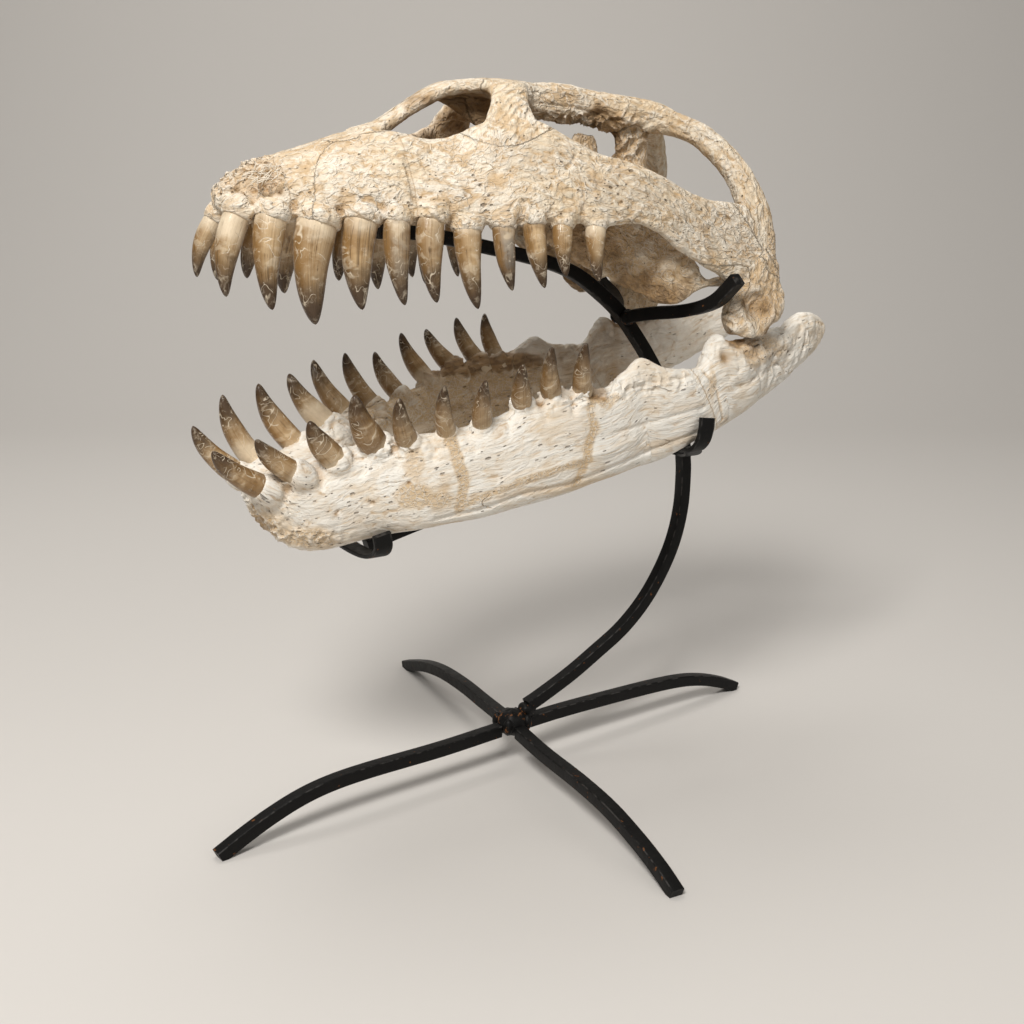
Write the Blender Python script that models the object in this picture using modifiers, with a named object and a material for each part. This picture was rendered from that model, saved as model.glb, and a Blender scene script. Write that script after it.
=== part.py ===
"""Plesiosaur skull fossil on its forged steel stand, life size, as one still display piece.

Metres, Z up. The snout points along -X and the animal's left side faces -Y. The origin is on the
floor under the crossing of the stand's legs, and the skull's plane of symmetry is y = 0.

Bones are lofts between an edge line a and an edge line b: each station gives both edges and the
thickness across them. The lofts of one bone mass are fused by a voxel remesh, thinned to facets,
joined with their teeth and parted with thin cuts where the bones of the skull meet.
"""
import math

import bmesh
import bpy
import numpy as np
from mathutils import Matrix, Vector

# ---------------------------------------------------------------- driving dimensions
BAR = 0.0095            # side of the stand's square bar
STRAP_WIDTH = 0.0127    # flat bar of the cradles
STRAP_THICK = 0.0032
HUB_RADIUS = 0.0125     # weld lump where the legs cross
HUB_LOW = 0.022
HUB_TOP = 0.0440
POST_TOP = 0.2250       # where the rear cradle sits on the post
POST_X = 0.1585

BONE_VOXEL = 0.0026     # remesh size that fuses the lofts of a bone mass
LOFT_SIDES = 20
CRANIUM_TRIANGLES = 1950
MANDIBLE_TRIANGLES = 800
TOOTH_SIDES = 5
TOOTH_ROOT = 0.009      # length of a tooth inside the bone
CUT = 0.0004            # width of a cut between two bones

COLLECTION = "plesiosaur_skull"

# ---------------------------------------------------------------- cranium, left half
# Station of a loft: edge a (x, y, z), edge b (x, y, z), thickness, taper.
# Taper makes the section narrower towards b. All sizes are of the left half, y <= 0.
SNOUT = [
    ((-0.2130, 0, 0.4235), (-0.2130, 0, 0.4320), 0.010, 0.0),
    ((-0.2085, 0, 0.4190), (-0.2080, 0, 0.4375), 0.027, 0.1),
    ((-0.2000, 0, 0.4165), (-0.1990, 0, 0.4435), 0.047, 0.2),
    ((-0.1880, 0, 0.4145), (-0.1870, 0, 0.4500), 0.063, 0.25),
    ((-0.1740, 0, 0.4130), (-0.1730, 0, 0.4550), 0.073, 0.28),
    ((-0.1560, 0, 0.4120), (-0.1550, 0, 0.4600), 0.082, 0.30),
    ((-0.1380, 0, 0.4120), (-0.1370, 0, 0.4655), 0.090, 0.31),
    ((-0.1200, 0, 0.4115), (-0.1200, 0, 0.4700), 0.099, 0.32),
    ((-0.1060, 0, 0.4115), (-0.1060, 0, 0.4710), 0.105, 0.34),
]
MAXILLA = [
    ((-0.1250, -0.048, 0.4180), (-0.1250, -0.020, 0.4660), 0.018, 0.0),
    ((-0.1080, -0.053, 0.4160), (-0.1080, -0.023, 0.4690), 0.017, 0.0),
    ((-0.0950, -0.057, 0.4160), (-0.0950, -0.026, 0.4670), 0.017, 0.1),
    ((-0.0800, -0.061, 0.4150), (-0.0800, -0.028, 0.4645), 0.017, 0.1),
    ((-0.0650, -0.064, 0.4120), (-0.0650, -0.030, 0.4660), 0.017, 0.1),
    ((-0.0500, -0.068, 0.4110), (-0.0500, -0.033, 0.4720), 0.017, 0.1),
    ((-0.0300, -0.072, 0.4130), (-0.0300, -0.040, 0.4790), 0.017, 0.1),
    ((-0.0100, -0.076, 0.4125), (-0.0100, -0.047, 0.4760), 0.017, 0.1),
    ((0.0100, -0.079, 0.4105), (0.0100, -0.054, 0.4650), 0.016, 0.1),
    ((0.0280, -0.080, 0.4085), (0.0280, -0.060, 0.4560), 0.015, 0.1),
    ((0.0500, -0.080, 0.4095), (0.0500, -0.064, 0.4505), 0.014, 0.0),
    ((0.0700, -0.079, 0.4020), (0.0700, -0.066, 0.4440), 0.013, 0.0),
    ((0.0850, -0.078, 0.3920), (0.0850, -0.067, 0.4370), 0.013, 0.0),
    ((0.1030, -0.077, 0.3830), (0.1030, -0.067, 0.4300), 0.013, 0.0),
    ((0.1200, -0.076, 0.3740), (0.1200, -0.067, 0.4250), 0.014, 0.0),
    ((0.1380, -0.074, 0.3640), (0.1380, -0.066, 0.4235), 0.015, 0.0),
    ((0.1560, -0.072, 0.3580), (0.1560, -0.063, 0.4200), 0.017, 0.0),
    ((0.1740, -0.070, 0.3600), (0.1740, -0.061, 0.4120), 0.017, 0.0),
]
SQUAMOSAL = [
    ((0.0900, 0.000, 0.4700), (0.0880, 0.000, 0.4965), 0.026, 0.0),
    ((0.1150, -0.008, 0.4690), (0.1120, -0.008, 0.4935), 0.024, 0.0),
    ((0.1330, -0.022, 0.4640), (0.1310, -0.020, 0.4840), 0.021, 0.0),
    ((0.1440, -0.036, 0.4510), (0.1490, -0.033, 0.4730), 0.019, 0.0),
    ((0.1510, -0.047, 0.4370), (0.1630, -0.045, 0.4565), 0.018, 0.0),
    ((0.1535, -0.056, 0.4230), (0.1715, -0.053, 0.4400), 0.018, 0.0),
    ((0.1520, -0.062, 0.4070), (0.1780, -0.059, 0.4220), 0.018, 0.0),
    ((0.1490, -0.066, 0.3900), (0.1825, -0.064, 0.4020), 0.018, 0.0),
    ((0.1460, -0.069, 0.3720), (0.1820, -0.068, 0.3820), 0.020, 0.0),
]
QUADRATE = [
    ((0.1440, -0.069, 0.3760), (0.1820, -0.068, 0.3820), 0.020, 0.0),
    ((0.1380, -0.070, 0.3600), (0.1840, -0.069, 0.3650), 0.024, 0.0),
    ((0.1370, -0.070, 0.3460), (0.1875, -0.070, 0.3510), 0.027, 0.0),
    ((0.1400, -0.070, 0.3360), (0.1790, -0.070, 0.3390), 0.029, 0.0),
    ((0.1460, -0.070, 0.3280), (0.1670, -0.070, 0.3290), 0.026, 0.0),
]
POSTORBITAL = [
    ((-0.0540, -0.038, 0.4640), (-0.0060, -0.050, 0.4640), 0.013, 0.0),
    ((-0.0440, -0.036, 0.4740), (-0.0080, -0.045, 0.4760), 0.012, 0.0),
    ((-0.0370, -0.032, 0.4840), (-0.0080, -0.036, 0.4860), 0.012, 0.0),
    ((-0.0300, -0.022, 0.4945), (-0.0020, -0.023, 0.4950), 0.012, 0.0),
    ((-0.0320, -0.006, 0.4960), (0.0040, -0.006, 0.4965), 0.012, 0.0),
]
FRONTAL = [
    ((-0.1180, 0, 0.4560), (-0.1180, 0, 0.4720), 0.048, 0.1),
    ((-0.1040, 0, 0.4630), (-0.1040, 0, 0.4755), 0.030, 0.0),
    ((-0.0930, 0, 0.4690), (-0.0950, 0, 0.4800), 0.021, 0.0),
    ((-0.0800, 0, 0.4775), (-0.0820, 0, 0.4880), 0.018, 0.0),
    ((-0.0640, 0, 0.4860), (-0.0670, 0, 0.4965), 0.020, 0.0),
    ((-0.0490, 0, 0.4910), (-0.0500, 0, 0.5025), 0.028, 0.0),
    ((-0.0300, 0, 0.4915), (-0.0300, 0, 0.5040), 0.042, 0.0),
    ((-0.0100, 0, 0.4890), (-0.0100, 0, 0.5035), 0.044, 0.0),
    ((0.0080, 0, 0.4810), (0.0080, 0, 0.5030), 0.030, 0.0),
]
PARIETAL = [
    ((0.0020, 0, 0.4820), (0.0020, 0, 0.5025), 0.030, 0.0),
    ((0.0160, 0, 0.4790), (0.0160, 0, 0.5025), 0.025, 0.0),
    ((0.0400, 0, 0.4770), (0.0400, 0, 0.5030), 0.025, 0.0),
    ((0.0620, 0, 0.4750), (0.0620, 0, 0.5000), 0.026, 0.0),
    ((0.0820, 0, 0.4715), (0.0820, 0, 0.4970), 0.030, 0.0),
    ((0.1000, 0, 0.4690), (0.1000, 0, 0.4950), 0.032, 0.0),
]
PALATE = [
    ((-0.1200, 0, 0.4120), (-0.1200, 0, 0.4260), 0.096, 0.0),
    ((-0.0800, 0, 0.4120), (-0.0800, 0, 0.4240), 0.116, 0.0),
    ((-0.0400, 0, 0.4120), (-0.0400, 0, 0.4240), 0.128, 0.0),
    ((-0.0050, 0, 0.4120), (-0.0050, 0, 0.4240), 0.122, 0.0),
    ((0.0200, 0, 0.4120), (0.0200, 0, 0.4240), 0.086, 0.0),
    ((0.0500, 0, 0.4120), (0.0500, 0, 0.4240), 0.062, 0.0),
    ((0.0900, 0, 0.4120), (0.0900, 0, 0.4240), 0.056, 0.0),
    ((0.1200, 0, 0.4130), (0.1200, 0, 0.4230), 0.044, 0.0),
]
PTERYGOID = [
    ((0.0120, -0.022, 0.3960), (0.0120, -0.024, 0.4220), 0.013, 0.0),
    ((0.0380, -0.025, 0.3800), (0.0380, -0.027, 0.4220), 0.014, 0.0),
    ((0.0620, -0.032, 0.3690), (0.0620, -0.034, 0.4200), 0.014, 0.0),
    ((0.0800, -0.042, 0.3570), (0.0800, -0.044, 0.4120), 0.014, 0.0),
    ((0.0950, -0.051, 0.3520), (0.0950, -0.053, 0.4020), 0.013, 0.0),
    ((0.1060, -0.057, 0.3525), (0.1080, -0.059, 0.3880), 0.012, 0.0),
    ((0.1130, -0.060, 0.3580), (0.1170, -0.061, 0.3780), 0.011, 0.0),
    ((0.1240, -0.063, 0.3625), (0.1240, -0.063, 0.3700), 0.010, 0.0),
    ((0.1420, -0.067, 0.3630), (0.1420, -0.067, 0.3730), 0.013, 0.0),
]
BRAINCASE = [
    ((0.0600, 0, 0.4180), (0.0600, 0, 0.4380), 0.026, 0.1),
    ((0.0780, 0, 0.4180), (0.0780, 0, 0.4460), 0.036, 0.2),
    ((0.1000, 0, 0.4180), (0.1000, 0, 0.4480), 0.038, 0.2),
    ((0.1140, 0, 0.4180), (0.1140, 0, 0.4400), 0.024, 0.0),
    ((0.1260, 0, 0.4190), (0.1260, 0, 0.4360), 0.018, 0.0),
]
SUPRAOCCIPITAL = [
    ((0.0820, 0, 0.4400), (0.1140, 0, 0.4400), 0.020, 0.0),
    ((0.0870, 0, 0.4560), (0.1150, 0, 0.4560), 0.015, 0.0),
    ((0.0840, 0, 0.4740), (0.1140, 0, 0.4740), 0.020, 0.0),
]
EPIPTERYGOID = [
    ((0.0540, 0, 0.4300), (0.0720, 0, 0.4300), 0.009, 0.0),
    ((0.0500, 0, 0.4540), (0.0700, 0, 0.4530), 0.007, 0.0),
    ((0.0500, 0, 0.4640), (0.0700, 0, 0.4630), 0.006, 0.0),
    ((0.0560, 0, 0.4690), (0.0640, 0, 0.4685), 0.005, 0.0),
]
PAROCCIPITAL = [
    ((0.1020, -0.010, 0.4250), (0.1020, -0.010, 0.4400), 0.014, 0.0),
    ((0.1190, -0.029, 0.4100), (0.1190, -0.029, 0.4230), 0.010, 0.0),
    ((0.1400, -0.046, 0.3900), (0.1400, -0.046, 0.4040), 0.010, 0.0),
    ((0.1600, -0.060, 0.3780), (0.1600, -0.060, 0.3940), 0.012, 0.0),
]
MIDLINE_LOFTS = [SNOUT, FRONTAL, PARIETAL, PALATE, BRAINCASE, SUPRAOCCIPITAL, EPIPTERYGOID]
PAIRED_LOFTS = [MAXILLA, SQUAMOSAL, QUADRATE, POSTORBITAL, PTERYGOID, PAROCCIPITAL]

# ---------------------------------------------------------------- mandible, left half
RAMUS = [
    ((-0.2030, -0.006, 0.2400), (-0.2030, -0.006, 0.2500), 0.010, 0.0),
    ((-0.1990, -0.0075, 0.2310), (-0.1990, -0.0075, 0.2535), 0.015, -0.4),
    ((-0.1940, -0.010, 0.2215), (-0.1940, -0.010, 0.2560), 0.020, -0.4),
    ((-0.1870, -0.013, 0.2110), (-0.1870, -0.013, 0.2585), 0.027, -0.35),
    ((-0.1790, -0.0155, 0.2040), (-0.1790, -0.0155, 0.2605), 0.033, -0.25),
    ((-0.1680, -0.018, 0.2005), (-0.1680, -0.018, 0.2625), 0.038, -0.1),
    ((-0.1540, -0.021, 0.2013), (-0.1540, -0.021, 0.2660), 0.040, 0.0),
    ((-0.1400, -0.027, 0.2050), (-0.1400, -0.027, 0.2695), 0.036, 0.0),
    ((-0.1250, -0.034, 0.2080), (-0.1250, -0.034, 0.2735), 0.032, 0.0),
    ((-0.1000, -0.047, 0.2125), (-0.1000, -0.048, 0.2765), 0.029, 0.0),
    ((-0.0750, -0.055, 0.2160), (-0.0750, -0.056, 0.2805), 0.028, 0.0),
    ((-0.0500, -0.061, 0.2195), (-0.0500, -0.063, 0.2865), 0.027, 0.0),
    ((-0.0250, -0.066, 0.2245), (-0.0250, -0.068, 0.2970), 0.026, 0.0),
    ((0.0000, -0.070, 0.2295), (0.0000, -0.072, 0.3025), 0.025, 0.0),
    ((0.0250, -0.072, 0.2345), (0.0250, -0.074, 0.3015), 0.023, 0.0),
    ((0.0450, -0.073, 0.2385), (0.0460, -0.073, 0.3095), 0.020, 0.0),
    ((0.0600, -0.073, 0.2415), (0.0620, -0.070, 0.3190), 0.017, 0.0),
    ((0.0780, -0.073, 0.2438), (0.0790, -0.074, 0.3115), 0.016, 0.0),
    ((0.0980, -0.072, 0.2500), (0.0980, -0.075, 0.3095), 0.017, 0.0),
    ((0.1110, -0.071, 0.2545), (0.1110, -0.074, 0.3100), 0.018, 0.0),
    ((0.1205, -0.071, 0.2575), (0.1205, -0.073, 0.3240), 0.020, 0.0),
    ((0.1290, -0.070, 0.2600), (0.1290, -0.071, 0.3300), 0.024, 0.0),
    ((0.1420, -0.068, 0.2645), (0.1420, -0.069, 0.3250), 0.028, 0.0),
    ((0.1600, -0.066, 0.2710), (0.1600, -0.067, 0.3245), 0.027, 0.0),
    ((0.1750, -0.064, 0.2770), (0.1750, -0.064, 0.3285), 0.022, 0.0),
    ((0.2000, -0.060, 0.2875), (0.2000, -0.060, 0.3305), 0.018, 0.0),
    ((0.2210, -0.055, 0.2975), (0.2210, -0.055, 0.3390), 0.017, 0.0),
    ((0.2420, -0.050, 0.3090), (0.2410, -0.050, 0.3370), 0.014, 0.0),
    ((0.2525, -0.049, 0.3180), (0.2530, -0.049, 0.3290), 0.008, 0.0),
]

# ---------------------------------------------------------------- teeth
# Row: base x, base distance from the midline, base z, then the tip from the base as forward,
# outward and up, and the radius at the gum.
UPPER_LEFT = [
    (-0.2060, 0.024, 0.421, 0.012, 0.004, -0.050, 0.0085),
    (-0.1890, 0.035, 0.420, 0.005, 0.006, -0.057, 0.0095),
    (-0.1610, 0.038, 0.416, 0.007, 0.007, -0.063, 0.0125),
    (-0.1340, 0.043, 0.417, 0.005, 0.008, -0.056, 0.0110),
    (-0.1130, 0.050, 0.417, 0.000, 0.008, -0.054, 0.0088),
    (-0.0920, 0.055, 0.417, 0.001, 0.008, -0.053, 0.0090),
    (-0.0690, 0.060, 0.411, -0.003, 0.008, -0.052, 0.0088),
    (-0.0460, 0.066, 0.412, -0.002, 0.008, -0.042, 0.0074),
    (-0.0260, 0.070, 0.414, -0.004, 0.008, -0.043, 0.0076),
    (-0.0060, 0.074, 0.412, 0.002, 0.008, -0.034, 0.0068),
    (0.0180, 0.077, 0.411, 0.002, 0.008, -0.037, 0.0066),
]
UPPER_RIGHT = [
    (-0.2080, 0.010, 0.418, 0.014, 0.004, -0.038, 0.0064),
    (-0.1900, 0.033, 0.419, 0.010, 0.006, -0.044, 0.0080),
    (-0.1660, 0.037, 0.416, 0.012, 0.009, -0.041, 0.0078),
    (-0.1420, 0.042, 0.417, 0.007, 0.012, -0.054, 0.0105),
    (-0.1160, 0.049, 0.417, 0.004, 0.010, -0.048, 0.0085),
    (-0.0930, 0.055, 0.416, 0.012, 0.007, -0.047, 0.0085),
    (-0.0680, 0.060, 0.412, 0.004, 0.008, -0.051, 0.0088),
    (-0.0440, 0.066, 0.412, -0.002, 0.006, -0.044, 0.0076),
    (-0.0250, 0.070, 0.414, 0.004, 0.006, -0.052, 0.0070),
    (-0.0050, 0.074, 0.412, -0.006, 0.007, -0.046, 0.0068),
    (0.0180, 0.077, 0.411, 0.004, 0.008, -0.034, 0.0066),
]
LOWER_LEFT = [
    (-0.1960, 0.023, 0.247, 0.036, 0.004, 0.030, 0.0080),
    (-0.1780, 0.031, 0.256, 0.028, 0.003, 0.027, 0.0078),
    (-0.1510, 0.033, 0.262, 0.021, 0.006, 0.030, 0.0088),
    (-0.1260, 0.039, 0.270, 0.020, 0.012, 0.038, 0.0095),
    (-0.1080, 0.049, 0.273, 0.014, 0.017, 0.033, 0.0072),
    (-0.0830, 0.056, 0.277, 0.011, 0.018, 0.036, 0.0066),
    (-0.0600, 0.062, 0.281, 0.008, 0.019, 0.034, 0.0070),
    (-0.0320, 0.067, 0.293, 0.011, 0.019, 0.031, 0.0070),
    (-0.0110, 0.070, 0.299, 0.012, 0.019, 0.035, 0.0070),
    (0.0120, 0.073, 0.300, 0.009, 0.017, 0.035, 0.0068),
]
LOWER_RIGHT = [
    (-0.1990, 0.020, 0.248, 0.029, 0.003, 0.036, 0.0076),
    (-0.1820, 0.032, 0.252, 0.020, 0.006, 0.048, 0.0085),
    (-0.1520, 0.032, 0.260, 0.024, 0.008, 0.045, 0.0088),
    (-0.1250, 0.039, 0.270, 0.024, 0.013, 0.038, 0.0088),
    (-0.1070, 0.049, 0.274, 0.018, 0.017, 0.040, 0.0080),
    (-0.0830, 0.056, 0.277, 0.014, 0.018, 0.039, 0.0075),
    (-0.0580, 0.062, 0.282, 0.012, 0.019, 0.032, 0.0072),
    (-0.0330, 0.066, 0.291, 0.013, 0.019, 0.035, 0.0072),
    (-0.0100, 0.070, 0.299, 0.013, 0.019, 0.028, 0.0070),
    (0.0140, 0.073, 0.301, 0.010, 0.017, 0.033, 0.0070),
    (0.0320, 0.075, 0.302, 0.004, 0.013, 0.034, 0.0068),
]

# ---------------------------------------------------------------- cuts between the bones
# Cut: centre, direction across it, its up direction, half its size sideways and upwards.
ALONG, UP = (1, 0, 0), (0, 0, 1)
CRANIUM_CUTS = [
    ((-0.1775, 0, 0.440), ALONG, UP, 0.060, 0.060),
    ((-0.1400, 0, 0.442), (0, 1, 0), UP, 0.0375, 0.045),
    ((-0.1025, 0, 0.450), ALONG, UP, 0.090, 0.060),
    ((0.0065, 0, 0.492), ALONG, UP, 0.024, 0.024),
    ((0.0980, 0, 0.4620), UP, ALONG, 0.020, 0.026),
]
PAIRED_CRANIUM_CUTS = [
    ((-0.0270, -0.043, 0.4745), (0, -0.30, 1), ALONG, 0.026, 0.040),
    ((-0.0180, -0.0265, 0.4895), (0, 0.71, 0.70), UP, 0.026, 0.012),
    ((0.0065, -0.075, 0.4370), ALONG, UP, 0.030, 0.050),
    ((0.0520, -0.0390, 0.4103), UP, ALONG, 0.027, 0.047),
    ((-0.0480, -0.0520, 0.4180), (0.17, 0.83, -0.55), UP, 0.0600, 0.0160),
    ((0.1340, -0.0230, 0.4740), (0.70, -0.60, -0.40), UP, 0.0135, 0.0170),
    ((0.1440, -0.0700, 0.3950), ALONG, UP, 0.0205, 0.0365),
    ((0.1385, -0.070, 0.3612), UP, ALONG, 0.018, 0.0075),
    ((0.1665, -0.066, 0.3890), UP, ALONG, 0.022, 0.0223),
    ((0.1230, -0.0635, 0.3660), ALONG, UP, 0.0100, 0.0120),
    ((0.1480, -0.0520, 0.3925), (0.77, -0.50, -0.38), UP, 0.009, 0.011),
]
MANDIBLE_CUTS = [
    ((-0.1700, 0, 0.2350), (0, 1, 0), UP, 0.060, 0.060),
]
PAIRED_MANDIBLE_CUTS = [
    ((0.1130, -0.073, 0.2880), (0.86, 0, 0.50), UP, 0.040, 0.060),
]

# Places that name the bodies between the cuts, on the left side where a bone is paired.
CRANIUM_BONES = {
    "premaxillae": (-0.195, 0, 0.430),
    "frontal_roof": (-0.040, 0, 0.490),
    "parietal_crest": (0.060, 0, 0.488),
    "palate_and_braincase": (0.020, 0, 0.415),
}
PAIRED_CRANIUM_BONES = {
    "snout": (-0.140, -0.030, 0.440),
    "upper_jaw": (-0.050, -0.055, 0.430),
    "postorbital": (-0.020, -0.036, 0.483),
    "cheek": (0.070, -0.073, 0.420),
    "pterygoid": (0.080, -0.045, 0.385),
    "squamosal_arch": (0.155, -0.050, 0.440),
    "quadrate": (0.160, -0.070, 0.355),
}
PAIRED_MANDIBLE_BONES = {
    "lower_jaw": (-0.070, -0.050, 0.260),
    "jaw_hinge": (0.170, -0.065, 0.300),
}

# ---------------------------------------------------------------- stand
# Legs: name, direction in degrees, and centre line as distance out and height.
LEGS = [
    ("front", -173.7, [(0.013, 0.0290), (0.067, 0.0285), (0.128, 0.0300), (0.160, 0.0292),
                       (0.184, 0.0256), (0.207, 0.0188), (0.228, 0.0105), (0.2465, 0.0020)]),
    ("back", 5.3, [(0.013, 0.0295), (0.047, 0.0296), (0.089, 0.0284), (0.143, 0.0262),
                   (0.178, 0.0232), (0.203, 0.0180), (0.226, 0.0100), (0.2430, 0.0020)]),
    ("left", -93.0, [(0.013, 0.0285), (0.052, 0.0265), (0.103, 0.0265), (0.143, 0.0240),
                     (0.178, 0.0172), (0.204, 0.0095), (0.2220, 0.0020)]),
    ("right", 85.3, [(0.013, 0.0305), (0.049, 0.0296), (0.088, 0.0290), (0.130, 0.0255),
                     (0.164, 0.0190), (0.192, 0.0105), (0.2190, 0.0010)]),
]
POST = [(0.0138, 0, 0.0432), (0.026, 0, 0.0482), (0.053, 0, 0.0608), (0.077, 0, 0.0744),
        (0.102, 0, 0.0898), (0.123, 0, 0.1091), (0.1395, 0, 0.1320), (0.1515, 0, 0.1567),
        (0.1580, 0, 0.1833), (0.1594, 0, 0.2103), (POST_X, 0, POST_TOP)]
UPPER_ARM = [(-0.1030, 0, 0.4055), (-0.0770, 0, 0.4040), (-0.0510, 0, 0.3995),
             (-0.0220, 0, 0.3930), (0.0070, 0, 0.3865), (0.0330, 0, 0.3795), (0.0540, 0, 0.3710),
             (0.0745, 0, 0.3570), (0.0925, 0, 0.3420), (0.1085, 0, 0.3230), (0.1220, 0, 0.3045),
             (0.1400, 0, 0.2760), (0.1540, 0, 0.2480), (POST_X, 0, POST_TOP + 0.0062)]
FORK = [(0.0975, -0.0070, 0.3385), (0.0995, -0.0120, 0.3400), (0.1085, -0.0230, 0.3422),
        (0.1190, -0.0400, 0.3445), (0.1262, -0.0570, 0.3490), (0.1275, -0.0720, 0.3552),
        (0.1275, -0.0838, 0.3640), (0.1285, -0.0910, 0.3710)]
REAR_CRADLE = [(POST_X - 0.001, 0, POST_TOP + 0.0020), (0.1510, -0.018, 0.2300),
               (0.1350, -0.042, 0.2385), (0.1150, -0.062, 0.2468), (0.1085, -0.072, 0.2488),
               (0.1065, -0.0805, 0.2510), (0.1070, -0.0862, 0.2575), (0.1090, -0.0870, 0.2660),
               (0.1100, -0.0865, 0.2740)]
FRONT_ARM = [(-0.1186, 0, 0.1925), (-0.0980, 0, 0.1985), (-0.0600, 0, 0.2065), (0.0000, 0, 0.2150),
             (0.0600, 0, 0.2230), (0.1100, 0, 0.2290), (0.1515, 0, 0.2345)]
FRONT_CRADLE = [(-0.1285, 0, 0.1925), (-0.1280, -0.024, 0.1935), (-0.1275, -0.040, 0.1975),
                (-0.1285, -0.0495, 0.2050), (-0.1310, -0.0530, 0.2150)]


def frames(centres, broads):
    """Broad and thin unit directions of each section, square to the line of centres."""
    tangents = np.gradient(centres, axis=0)
    tangents /= np.linalg.norm(tangents, axis=1, keepdims=True)
    broads = broads - (broads * tangents).sum(1, keepdims=True) * tangents
    broads /= np.linalg.norm(broads, axis=1, keepdims=True)
    return broads, np.cross(broads, tangents)


def loft(mesh, stations, sides=LOFT_SIDES, power=2.5, mirror=False):
    """Adds one closed loft of superellipse sections to a bmesh."""
    lows = np.array([station[0] for station in stations])
    tops = np.array([station[1] for station in stations])
    thick = np.array([station[2] for station in stations])
    taper = np.array([station[3] for station in stations])
    centres = (lows + tops) / 2
    _, thins = frames(centres, tops - lows)
    angles = np.arange(sides) * 2 * math.pi / sides
    along = np.sign(np.cos(angles)) * np.abs(np.cos(angles)) ** (2 / power)
    across = np.sign(np.sin(angles)) * np.abs(np.sin(angles)) ** (2 / power)
    flip = np.array([1, -1 if mirror else 1, 1])
    rings = []
    for centre, low, top, thin, width, narrow in zip(centres, lows, tops, thins, thick, taper):
        half = (top - low) / 2
        sideways = across * (width / 2) * (1 - narrow * along)
        points = centre + np.outer(along, half) + np.outer(sideways, thin)
        rings.append([mesh.verts.new(point * flip) for point in points])
    for ring, after in zip(rings, rings[1:]):
        for i in range(sides):
            j = (i + 1) % sides
            mesh.faces.new((ring[i], ring[j], after[j], after[i]))
    mesh.faces.new(rings[0])
    mesh.faces.new(rings[-1])


def tooth(mesh, row, side, direction):
    """Adds one bent tooth; direction is +1 for a lower tooth and -1 for an upper one."""
    x, out, z, forward, outward, rise, radius = row
    base = Vector((x, side * out, z))
    tip = base + Vector((-forward, side * outward, rise))
    lean = Vector((-forward, side * outward, 0))
    root = base - Vector((0, 0, direction * TOOTH_ROOT)) - lean * 0.25
    middle = (base + tip) / 2 + lean * 0.22
    rings = []
    for share, size in ((-0.2, 1.0), (0.4, 0.84), (0.8, 0.45), (1.0, 0.10)):
        if share < 0:
            centre = root
        else:
            centre = base * (1 - share) ** 2 + middle * 2 * share * (1 - share) + tip * share ** 2
        rings.append((centre, radius * size))
    loops = []
    for index, (centre, size) in enumerate(rings):
        before = rings[max(index - 1, 0)][0]
        after = rings[min(index + 1, len(rings) - 1)][0]
        turn = (after - before).to_track_quat("Z", "X").to_matrix()
        loops.append([
            mesh.verts.new(centre + turn @ Vector((size * math.cos(a), size * math.sin(a), 0)))
            for a in (i * 2 * math.pi / TOOTH_SIDES for i in range(TOOTH_SIDES))
        ])
    for loop, after in zip(loops, loops[1:]):
        for i in range(TOOTH_SIDES):
            j = (i + 1) % TOOTH_SIDES
            mesh.faces.new((loop[i], loop[j], after[j], after[i]))
    mesh.faces.new(loops[0])
    mesh.faces.new(loops[-1])


def bar(mesh, path, side, width=BAR, height=BAR):
    """Adds a square or flat bar swept along a path; side is the direction of its width."""
    path = np.array(path, float)
    broads, thins = frames(path, np.tile(np.array(side, float), (len(path), 1)))
    loops = []
    for centre, broad, thin in zip(path, broads, thins):
        corners = ((1, 1), (-1, 1), (-1, -1), (1, -1))
        loops.append([
            mesh.verts.new(centre + broad * u * width / 2 + thin * v * height / 2)
            for u, v in corners
        ])
    for loop, after in zip(loops, loops[1:]):
        for i in range(4):
            j = (i + 1) % 4
            mesh.faces.new((loop[i], loop[j], after[j], after[i]))
    mesh.faces.new(loops[0])
    mesh.faces.new(loops[-1])


def smooth_path(points, count):
    """Even points on a cubic curve through the given ones."""
    points = np.array(points, float)
    tangents = np.gradient(points, axis=0)
    found = []
    for value in np.linspace(0, len(points) - 1, count):
        i = min(int(value), len(points) - 2)
        t = value - i
        found.append(
            points[i] * (2 * t ** 3 - 3 * t ** 2 + 1)
            + tangents[i] * (t ** 3 - 2 * t ** 2 + t)
            + points[i + 1] * (3 * t ** 2 - 2 * t ** 3)
            + tangents[i + 1] * (t ** 3 - t ** 2)
        )
    return np.array(found)


def object_from(name, mesh, collection):
    """A new object from a bmesh, its faces turned outwards."""
    bmesh.ops.recalc_face_normals(mesh, faces=mesh.faces)
    data = bpy.data.meshes.new(name)
    mesh.to_mesh(data)
    mesh.free()
    made = bpy.data.objects.new(name, data)
    collection.objects.link(made)
    return made


def applied(obj):
    """Replaces an object's mesh by its evaluated one and drops its modifiers."""
    graph = bpy.context.evaluated_depsgraph_get()
    mesh = bpy.data.meshes.new_from_object(obj.evaluated_get(graph))
    obj.modifiers.clear()
    old = obj.data
    obj.data = mesh
    bpy.data.meshes.remove(old)
    return obj


def boolean(obj, other, operation):
    """Applies one Boolean with another object and removes that object."""
    modifier = obj.modifiers.new("boolean", "BOOLEAN")
    modifier.solver = "MANIFOLD"
    modifier.operation = operation
    modifier.object = other
    applied(obj)
    bpy.data.objects.remove(other)


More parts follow.
